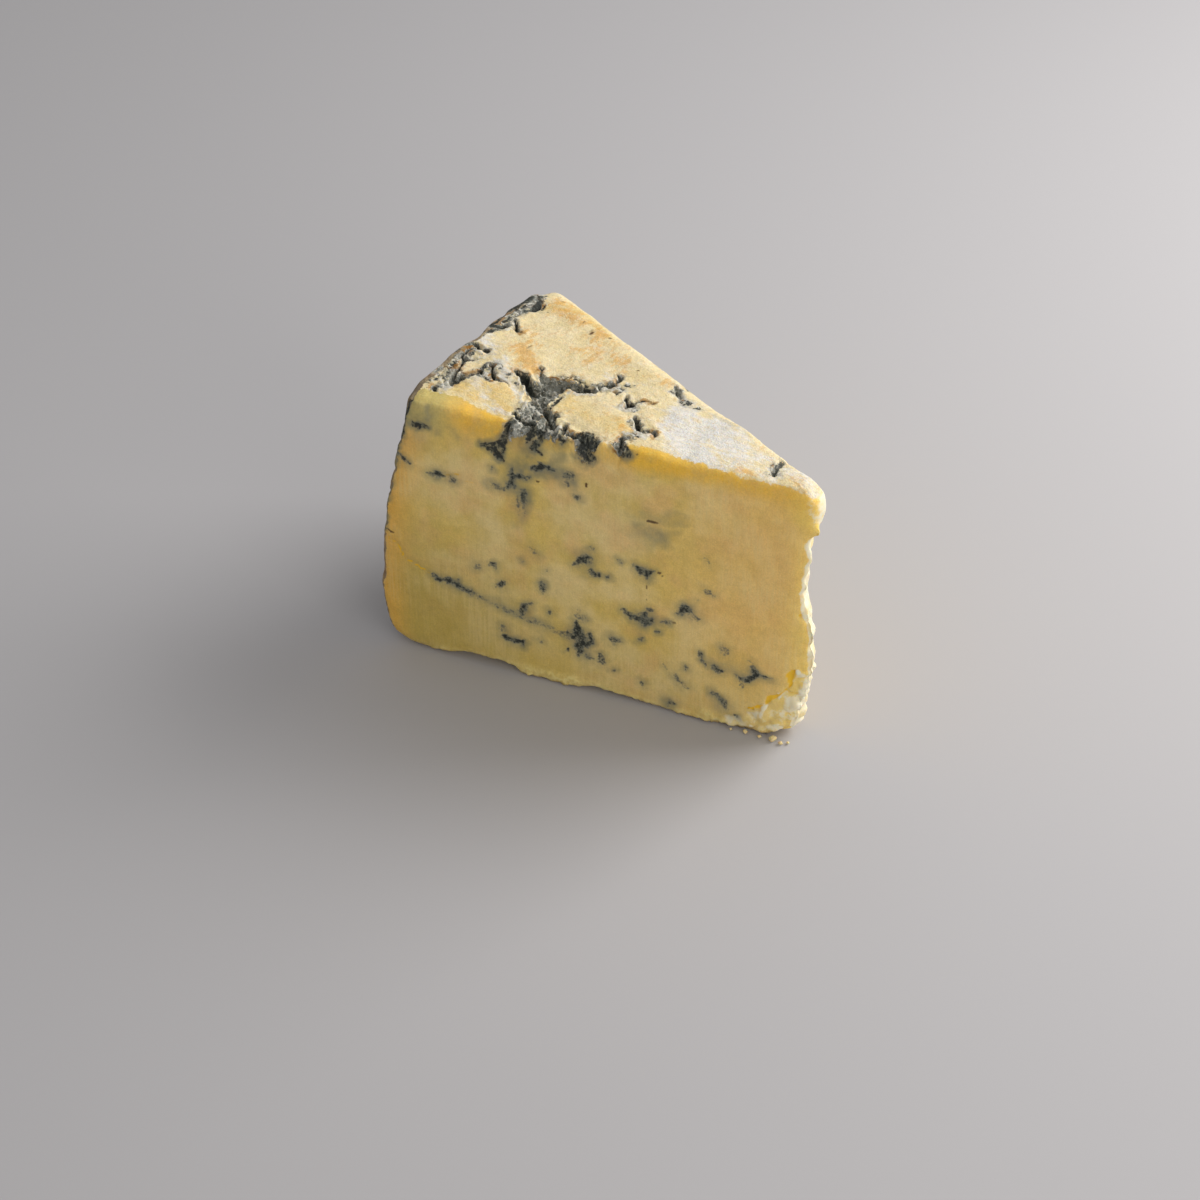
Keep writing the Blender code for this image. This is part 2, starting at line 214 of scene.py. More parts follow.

# %% [markdown]
# ## Fissures in the crust
#
# As a wheel of blue cheese dries, its crust opens in deep, crumbly fissures, and blue mould settles in
# them. On this slice one big fissure crosses the crust and breaks out through the front cut face. The
# solid has its rough form. Here are its finer routes; a stop's last number is a depth in mm. Inside the
# fissures, dark crevices run where no light comes, painted dark as dark mould and painted shade, and pale
# crumbs sit on the broken rims.

# %% The routes of the fissures
CRUST_FISSURES = routes_on(on_crust, (
    # The big fissure, its arms and its mouth.
    ((-82.6, -4.3, 0.6, 1.0), (-80.5, -5.2, 1.1, 2.2), (-78.2, -6.5, 1.6, 2.6), (-75.5, -7.2, 2.5, 3.0),
     (-72.3, -8.0, 2.8, 3.0), (-70.8, -9.5, 1.9, 2.4)),
    ((-74.5, -5.0, 2.0, 3.0), (-71.5, -5.0, 1.7, 3.0)),
    ((-75.2, -3.4, 1.4, 2.6), (-72.5, -2.4, 1.8, 2.9), (-70.0, -1.4, 1.9, 2.8), (-67.5, -1.4, 1.4, 2.4),
     (-65.6, -1.0, 0.9, 1.6), (-64.9, 1.4, 0.8, 1.4)),
    ((-66.3, 1.6, 0.5, 1.0), (-64.9, 2.6, 1.2, 2.2), (-64.0, 4.3, 1.0, 2.0), (-63.3, 6.3, 0.7, 1.2),
     (-64.4, 7.4, 0.4, 0.8)),
    ((-61.8, 2.0, 0.5, 0.8), (-60.3, 2.7, 0.4, 0.8)),
    ((-72.0, -11.5, 2.0, 1.8), (-70.5, -14.0, 2.3, 1.1), (-70.0, -17.0, 2.3, 0.9), (-70.5, -20.5, 2.2, 0.5)),
    ((-73.0, -17.0, 0.6, 1.2), (-70.5, -17.0, 0.9, 1.5), (-68.6, -16.8, 0.8, 1.4)),
    ((-69.0, -11.3, 1.0, 1.8), (-66.7, -13.6, 1.3, 1.7), (-64.8, -15.4, 1.2, 1.3), (-62.6, -17.2, 0.8, 0.9),
     (-61.0, -19.0, 0.7, 0.5)),
    ((-66.0, -16.0, 1.7, 1.0), (-64.5, -19.0, 1.5, 0.5)),
    ((-66.6, -12.0, 0.5, 1.2), (-65.5, -12.6, 0.4, 0.8)), ((-62.3, -14.0, 0.6, 1.3), (-60.8, -15.6, 0.5, 1.1)),
    ((-79.5, -0.4, 0.4, 0.6), (-77.5, -2.2, 0.6, 0.9), (-75.8, -3.4, 0.8, 1.5)),
    ((-74.6, -2.2, 0.6, 1.0), (-73.3, -1.8, 0.4, 0.8)),
    # Round the slab by the rind.
    ((-88.2, -6.0, 0.35, 0.9), (-86.9, -7.6, 0.5, 1.4), (-85.4, -9.4, 0.8, 1.9), (-83.6, -9.9, 0.8, 1.5),
     (-81.8, -9.8, 0.35, 0.7)),
    ((-88.2, -10.0, 0.6, 1.4), (-89.2, -12.0, 1.0, 2.2), (-90.0, -14.3, 1.2, 2.6), (-90.6, -16.0, 1.0, 2.0)),
    ((-93.4, -8.8, 0.5, 1.1), (-93.0, -11.0, 0.5, 1.1), (-91.9, -13.8, 0.7, 1.5), (-91.0, -15.6, 0.8, 1.8)),
    ((-92.5, -19.3, 0.8, 1.1), (-91.5, -21.0, 0.6, 0.7)), ((-95.3, -16.0, 0.5, 0.7), (-94.9, -14.0, 0.4, 0.6)),
    ((-96.8, -4.4, 0.6, 0.8), (-95.3, -3.2, 0.8, 1.2), (-93.2, -3.4, 0.8, 1.6), (-91.9, -2.9, 0.5, 0.9)),
    ((-95.0, -5.4, 0.4, 0.8), (-94.9, -8.0, 0.4, 0.8), (-93.0, -8.8, 0.7, 1.0), (-92.2, -8.0, 0.4, 0.8)),
    # Along the rind's rim.
    ((-97.2, 4.6, 0.6, 0.8), (-96.0, 6.1, 1.1, 1.4), (-95.0, 7.2, 0.8, 1.1)),
    ((-94.9, 10.2, 0.35, 0.8), (-93.4, 9.0, 0.45, 1.0), (-92.0, 7.9, 0.5, 1.0), (-90.9, 7.2, 0.3, 0.6)),
    ((-97.9, 17.8, 0.7, 0.7), (-97.6, 20.0, 0.9, 0.8)),
    ((-96.4, 19.5, 0.6, 1.0), (-94.9, 17.3, 1.0, 1.6), (-95.0, 15.6, 0.7, 1.4), (-96.2, 13.8, 0.5, 0.9)),
    # Right of the big fissure.
    ((-58.8, 1.9, 0.4, 0.6), (-57.2, 0.8, 0.8, 1.3), (-56.0, 0.3, 1.3, 2.0), (-55.2, 1.6, 0.7, 1.1),
     (-54.2, 2.6, 0.35, 0.7), (-52.5, 3.5, 0.25, 0.4)),
    ((-56.0, -1.4, 0.5, 1.1),),
    ((-52.8, -3.0, 0.5, 0.8), (-51.2, -3.8, 0.8, 1.3), (-49.8, -5.2, 1.0, 1.6), (-48.3, -6.3, 0.6, 1.1)),
    ((-48.0, -5.0, 0.6, 0.9), (-46.6, -4.7, 0.7, 1.1), (-45.7, -6.0, 0.4, 0.7)),
    ((-50.2, -10.6, 0.4, 0.7), (-49.8, -12.3, 0.8, 0.9), (-48.6, -14.0, 0.7, 0.7), (-47.8, -15.2, 0.4, 0.4)),
    ((-59.6, -15.3, 0.6, 0.9), (-58.0, -15.0, 0.9, 1.2), (-56.5, -16.2, 1.4, 1.7), (-54.6, -15.6, 1.0, 1.2),
     (-53.4, -14.3, 0.7, 0.9)),
    ((-55.3, -17.5, 1.1, 0.9),), ((-59.5, -17.8, 0.4, 0.7), (-58.2, -18.9, 0.5, 0.7)),
    ((-53.0, 11.4, 0.4, 0.5), (-51.2, 10.4, 0.8, 0.9), (-49.3, 8.9, 0.5, 0.6)),
    ((-20.6, 3.2, 0.6, 0.7), (-19.8, 0.7, 0.8, 1.0), (-19.2, -1.8, 0.5, 0.7)),
))
# Crevices: a little deeper, and painted near black, partly dark mould and partly painted shade.
CRUST_SHADED_CREVICES = routes_on(on_crust, (
    ((-82.6, -4.2, 0.6, 0.9), (-80.3, -4.6, 0.7, 1.0), (-79.0, -5.4, 0.8, 1.0), (-77.3, -6.3, 0.8, 1.0),
     (-76.0, -6.4, 0.8, 0.9)),
    ((-77.3, -7.2, 0.7, 0.5), (-74.5, -8.6, 0.7, 0.45), (-71.5, -9.0, 0.7, 0.4)),
    ((-68.9, -6.5, 0.3, 0.8), (-68.5, -8.5, 0.4, 0.9), (-68.2, -11.0, 0.4, 0.8)),
    ((-72.8, 1.0, 0.3, 0.6), (-71.5, 0.6, 0.4, 0.8), (-69.8, 0.8, 0.4, 0.8), (-68.0, 0.4, 0.4, 0.9),
     (-66.5, -0.5, 0.8, 1.0), (-65.2, -0.8, 0.6, 1.0)),
    ((-73.6, -0.8, 0.3, 0.7), (-72.8, 0.9, 0.25, 0.6)),
    ((-65.6, 2.0, 0.5, 0.9), (-64.5, 3.3, 0.9, 1.0), (-63.8, 4.2, 0.6, 0.8)),
    ((-65.6, 7.7, 0.3, 0.7), (-64.2, 7.0, 0.4, 0.9), (-63.4, 6.0, 0.5, 1.0)),
    ((-60.9, 1.6, 0.3, 0.8), (-60.2, 2.9, 0.3, 0.8)),
    ((-73.5, -16.5, 0.4, 0.9), (-71.0, -17.0, 0.7, 1.0), (-68.8, -16.7, 0.7, 1.0), (-68.0, -17.5, 0.5, 0.9)),
    ((-69.0, -11.0, 0.45, 0.9), (-67.0, -13.3, 0.45, 0.9), (-65.3, -14.6, 0.7, 0.8), (-63.4, -14.9, 0.5, 0.8)),
    ((-70.2, -14.0, 0.4, 0.8), (-68.0, -17.0, 0.4, 0.9), (-66.5, -19.5, 0.5, 0.9), (-65.0, -21.0, 0.4, 0.8)),
    ((-67.0, -14.5, 0.4, 0.8), (-65.0, -17.5, 0.4, 0.9), (-63.5, -19.5, 0.4, 0.8)),
    ((-61.7, -15.5, 0.5, 0.9), (-60.3, -17.6, 0.5, 0.9), (-58.5, -19.0, 0.5, 0.9)),
    ((-73.9, -15.5, 0.4, 0.8),), ((-66.5, -11.8, 0.6, 0.8),), ((-62.1, -14.0, 0.6, 1.0),),
    ((-71.9, -12.9, 0.3, 0.8),),
    ((-88.1, -6.0, 0.3, 1.0), (-86.9, -7.6, 0.4, 1.0), (-85.4, -9.4, 0.6, 1.0), (-83.5, -9.8, 0.6, 1.0),
     (-80.5, -10.0, 0.3, 0.5)),
    ((-88.5, -9.5, 0.5, 0.8), (-89.3, -12.0, 0.7, 1.0), (-89.9, -14.2, 1.0, 1.0), (-91.0, -15.3, 0.8, 1.0)),
    ((-93.8, -8.6, 0.5, 0.9), (-93.2, -10.8, 0.4, 0.9), (-91.8, -13.5, 0.6, 0.9)), ((-93.0, -14.6, 0.6, 0.7),),
    ((-92.6, -19.4, 0.6, 0.8), (-91.8, -20.6, 0.4, 0.7)), ((-93.3, -21.0, 0.4, 0.7),),
    ((-95.6, -3.0, 0.6, 0.7), (-93.5, -3.2, 0.7, 1.0), (-91.8, -2.9, 0.5, 0.9)), ((-96.8, -4.2, 0.5, 0.8),),
    ((-95.0, -5.4, 0.35, 0.8), (-94.9, -8.0, 0.35, 0.8), (-93.0, -8.7, 0.6, 0.9), (-92.2, -7.9, 0.4, 0.9)),
    ((-96.6, -7.9, 0.5, 0.7), (-97.0, -6.0, 0.3, 0.7)),
    ((-97.8, -17.0, 0.4, 0.6), (-97.4, -10.0, 0.35, 0.6), (-97.6, -1.0, 0.4, 0.8), (-97.5, 3.0, 0.5, 1.0),
     (-97.9, 8.0, 0.45, 0.9), (-98.1, 12.0, 0.5, 0.9), (-98.3, 16.0, 0.5, 0.9), (-98.5, 19.0, 0.4, 0.8)),
    ((-97.2, 4.5, 0.6, 1.0), (-95.9, 6.1, 0.9, 1.0), (-95.0, 7.2, 0.5, 0.9)),
    ((-97.0, 8.0, 0.5, 0.6), (-96.2, 8.7, 0.4, 0.5)),
    ((-94.9, 10.2, 0.35, 0.9), (-93.4, 9.0, 0.4, 0.9), (-92.0, 7.9, 0.45, 0.9), (-90.9, 7.2, 0.35, 0.9)),
    ((-98.2, 17.6, 0.7, 1.0), (-97.9, 19.5, 0.9, 0.9)), ((-94.3, 19.0, 0.4, 0.7), (-93.3, 17.6, 0.4, 0.8)),
    ((-97.4, 22.0, 0.6, 0.8), (-96.0, 20.0, 0.6, 0.9), (-95.3, 18.0, 0.8, 1.0), (-94.7, 16.2, 0.8, 1.0),
     (-96.0, 14.0, 0.5, 0.9)),
    ((-58.8, 1.9, 0.35, 0.6), (-57.4, 1.2, 0.4, 0.8), (-56.3, 1.4, 0.45, 0.9), (-55.0, 2.2, 0.4, 0.8),
     (-52.8, 3.6, 0.25, 0.6)),
    ((-56.8, 0.0, 0.5, 0.9), (-56.0, -1.4, 0.45, 0.9)),
    ((-52.7, -3.0, 0.5, 0.8), (-51.2, -3.6, 0.6, 1.0), (-50.0, -4.8, 0.5, 0.7), (-48.8, -6.0, 0.4, 0.7)),
    ((-48.2, -5.2, 0.4, 0.8), (-46.5, -4.7, 0.55, 1.0)), ((-48.2, -11.0, 0.4, 0.6),),
    ((-50.4, -10.6, 0.4, 0.9), (-49.9, -12.0, 0.5, 0.8), (-48.7, -13.8, 0.6, 0.8), (-47.9, -14.4, 0.4, 0.9)),
    ((-59.8, -15.5, 0.4, 0.8), (-57.9, -14.2, 0.5, 0.8), (-57.0, -15.6, 0.8, 1.0), (-55.4, -16.2, 1.2, 1.0),
     (-54.7, -14.0, 0.5, 0.8), (-53.4, -14.5, 0.6, 0.9)),
    ((-51.8, 10.6, 0.4, 0.9), (-50.2, 9.4, 0.35, 0.7)),
    ((-20.2, 2.4, 0.4, 0.8), (-19.6, 0.2, 0.6, 0.9), (-19.3, -1.6, 0.35, 0.8)),
))
GREY_VEILS = routes_on(on_crust, (
    ((-66.0, 0.6, 1.3, 0.8), (-63.5, 1.8, 1.4, 0.8), (-61.5, 3.0, 1.1, 0.7), (-60.5, 6.0, 0.9, 0.5)),
    ((-58.5, 0.5, 1.0, 0.5), (-55.5, -1.5, 1.6, 0.7), (-54.0, 1.5, 0.9, 0.5)),
    ((-52.0, -4.5, 1.0, 0.6), (-48.5, -7.2, 1.7, 0.7), (-49.5, -11.0, 1.5, 0.65), (-48.2, -14.5, 1.4, 0.7)),
    ((-86.5, -6.5, 2.2, 0.7), (-88.0, -9.0, 2.0, 0.85), (-85.0, -10.5, 1.4, 0.8)),
    ((-82.5, -7.0, 1.2, 0.4), (-78.5, -9.0, 0.9, 0.5)),
    ((-95.8, -4.5, 2.2, 0.9), (-94.8, -9.0, 2.3, 0.9), (-93.2, -13.0, 2.3, 0.9), (-91.5, -17.5, 2.4, 0.85)),
    ((-97.3, -8.0, 1.4, 0.8), (-96.5, -14.0, 1.8, 0.9), (-95.5, -19.0, 2.0, 0.8)),
    ((-89.8, -13.0, 2.0, 0.9),), ((-91.5, -5.5, 1.8, 0.5),),
    ((-97.8, -2.0, 1.2, 0.9), (-97.3, 2.0, 1.4, 0.9), (-97.0, 6.0, 2.2, 1.0), (-97.0, 10.0, 2.0, 1.0),
     (-96.6, 14.5, 2.2, 1.0),
     (-96.8, 19.0, 2.6, 1.0), (-96.8, 22.0, 1.6, 1.0)),
    ((-94.0, 8.5, 1.6, 0.55), (-91.5, 7.5, 1.0, 0.45)), ((-94.5, 16.0, 1.6, 0.7),),
    ((-72.0, -13.0, 3.2, 0.8), (-68.5, -16.5, 3.4, 0.8), (-63.5, -17.5, 2.6, 0.75), (-59.0, -17.5, 2.4, 0.55),
     (-54.0, -17.0, 2.2, 0.6)),
    ((-79.0, -1.0, 0.8, 0.5), (-76.5, -3.0, 1.2, 0.7), (-73.0, 0.3, 0.9, 0.5), (-69.5, 1.3, 0.9, 0.5)),
    ((-68.5, -4.0, 0.9, 0.5), (-68.3, -9.0, 1.0, 0.6)),
    ((-52.0, 10.5, 1.5, 0.6), (-48.5, 8.5, 1.5, 0.55), (-44.0, 7.5, 1.2, 0.4)),
    ((-20.0, 1.0, 1.6, 0.6), (-19.5, -1.5, 1.2, 0.5)),
    ((-64.5, 7.0, 1.0, 0.5),), ((-40.0, 8.0, 1.0, 0.3), (-30.0, 6.5, 0.8, 0.25)),
))
PALE_CRUMBS = routes_on(on_crust, (
    ((-80.8, -6.3, 0.35, 0.7), (-78.0, -8.9, 0.4, 0.8), (-75.6, -11.4, 0.4, 0.9), (-73.8, -13.6, 0.5, 1.0),
     (-72.7, -15.1, 0.35, 0.9)),
    ((-72.5, -18.4, 0.5, 0.8), (-70.5, -18.1, 0.4, 0.8)),
    ((-73.8, -3.2, 0.9, 0.5), (-72.2, -4.8, 0.9, 0.6), (-71.5, -5.6, 0.6, 0.5)),
    ((-68.6, -0.8, 0.4, 0.8), (-67.9, -1.5, 0.4, 0.7)),
    ((-71.2, -9.6, 0.8, 0.5), (-70.6, -11.0, 0.8, 0.5), (-72.6, -12.0, 0.8, 0.5)),
    ((-71.6, -14.2, 0.7, 0.6),), ((-69.0, -12.9, 0.9, 0.8), (-68.0, -13.8, 0.7, 0.7)),
    ((-71.0, -15.4, 1.2, 0.7), (-69.5, -15.2, 0.8, 0.7)),
    ((-67.8, -3.4, 0.5, 0.7), (-65.4, -2.2, 0.6, 0.8), (-64.0, -1.3, 0.5, 0.6)),
    ((-65.8, 1.0, 0.4, 0.7), (-63.6, 1.3, 0.7, 0.7), (-61.8, 3.2, 0.7, 0.6), (-62.6, 4.6, 0.5, 0.6)),
    ((-60.8, 6.2, 0.7, 0.7), (-60.0, 5.6, 0.4, 0.7)), ((-63.2, -18.2, 0.8, 0.5),),
    ((-64.6, -16.1, 0.7, 0.8), (-63.2, -15.7, 0.7, 0.7), (-61.6, -15.0, 0.4, 0.7)),
    ((-86.3, -5.8, 0.8, 0.6), (-86.2, -7.3, 0.6, 0.7)),
    ((-88.0, -9.3, 0.5, 0.7), (-86.4, -10.5, 0.6, 0.6), (-84.6, -11.0, 0.5, 0.5)),
    ((-94.3, -5.0, 0.5, 0.8), (-92.5, -4.6, 0.4, 0.6)), ((-95.6, -9.0, 0.6, 0.5), (-94.4, -10.0, 0.5, 0.5)),
    ((-91.5, -17.5, 1.2, 0.6), (-90.0, -18.5, 1.2, 0.7), (-89.0, -20.5, 1.2, 0.6)), ((-93.0, -17.0, 0.5, 0.6),),
    ((-58.3, 0.6, 0.35, 0.6), (-56.8, -2.0, 0.6, 0.8), (-55.2, -2.4, 0.6, 0.8), (-54.4, -0.4, 0.5, 0.6),
     (-54.4, 1.6, 0.4, 0.6), (-53.2, 3.0, 0.4, 0.5)),
    ((-52.4, -4.2, 0.35, 0.8), (-50.5, -5.8, 0.4, 0.8), (-49.0, -7.2, 0.6, 0.9), (-47.4, -7.3, 0.7, 0.9),
     (-46.2, -8.3, 0.6, 0.7)),
    ((-50.5, -9.3, 0.7, 0.7), (-49.0, -8.6, 0.6, 0.7)), ((-47.8, -12.0, 0.4, 0.6),),
    ((-97.0, 10.0, 0.6, 0.6), (-96.2, 12.4, 0.7, 0.6)), ((-93.8, 6.2, 0.7, 0.6), (-93.2, 7.2, 0.5, 0.6)),
    ((-97.6, 16.4, 0.5, 0.6), (-96.9, 18.0, 0.5, 0.5)), ((-97.1, 21.6, 0.4, 0.8), (-96.4, 22.6, 0.3, 0.7)),
))
FRONT_FISSURES = routes_on(on_front, (
    ((73.6, 68.6, 1.1, 1.4), (74.2, 66.5, 0.9, 1.2), (75.0, 64.6, 0.7, 1.0), (75.3, 62.6, 0.6, 0.9),
     (76.3, 61.9, 0.6, 0.8),
     (78.4, 60.3, 0.7, 0.7), (80.5, 60.3, 0.35, 0.4)),
    ((75.4, 61.6, 0.35, 0.6), (75.6, 60.0, 0.3, 0.5)),
    ((77.3, 60.0, 0.5, 0.5), (76.9, 59.0, 0.7, 0.9), (76.3, 57.9, 0.5, 0.7)),
    ((71.0, 68.6, 0.8, 1.2), (69.7, 68.8, 0.6, 1.2)),
    ((68.6, 68.5, 0.4, 1.0), (68.2, 66.8, 0.35, 0.8), (67.3, 66.2, 0.3, 0.5)),
    ((70.2, 65.4, 0.7, 0.8), (70.3, 64.2, 0.4, 0.5)),
    ((68.2, 65.8, 0.4, 0.7), (68.3, 63.8, 0.5, 0.7), (68.7, 62.2, 0.5, 0.6), (67.6, 61.6, 0.4, 0.4)),
    ((69.3, 65.6, 0.4, 0.5),),
    ((63.6, 68.6, 0.8, 1.2), (63.2, 67.0, 0.5, 0.9)), ((62.4, 65.6, 0.5, 0.7),),
    ((60.6, 67.9, 0.6, 0.7), (59.2, 67.5, 0.7, 1.0), (58.2, 66.7, 1.3, 1.7), (57.9, 65.2, 0.8, 1.2),
     (57.6, 63.6, 0.7, 0.8),
     (57.8, 62.6, 0.8, 0.8)),
    ((59.2, 63.6, 0.4, 0.5), (58.0, 62.8, 0.6, 0.6), (56.0, 63.4, 0.4, 0.5)),
    ((56.4, 68.4, 0.4, 0.6), (55.5, 67.4, 0.5, 0.6)),
    ((50.8, 68.4, 0.7, 1.0), (50.5, 67.0, 0.6, 0.7), (50.2, 66.0, 0.3, 0.3)), ((49.0, 66.0, 0.4, 0.4),),
    ((96.2, 61.7, 0.3, 0.4), (94.8, 61.2, 0.5, 0.7), (93.5, 61.6, 0.35, 0.4)),
    ((97.0, 66.8, 0.25, 0.1), (98.8, 60.0, 0.25, 0.1), (101.0, 52.0, 0.25, 0.1), (102.7, 45.5, 0.4, 0.2),
     (103.6, 40.0, 0.3, 0.2),
     (105.0, 32.0, 0.15, 0.1)),
))
print(len(CRUST_FISSURES), "fissures in the crust and", len(FRONT_FISSURES), "through the front")

# %% [markdown]
# ## Veins in the front cut face
#
# Blue mould grows wherever the maker's needles let air into the paste, so its spots lie along short
# broken lines. Noise alone would scatter them evenly, which no cheese does. We place each vein
# as a listed route and leave only its ragged outline to noise.

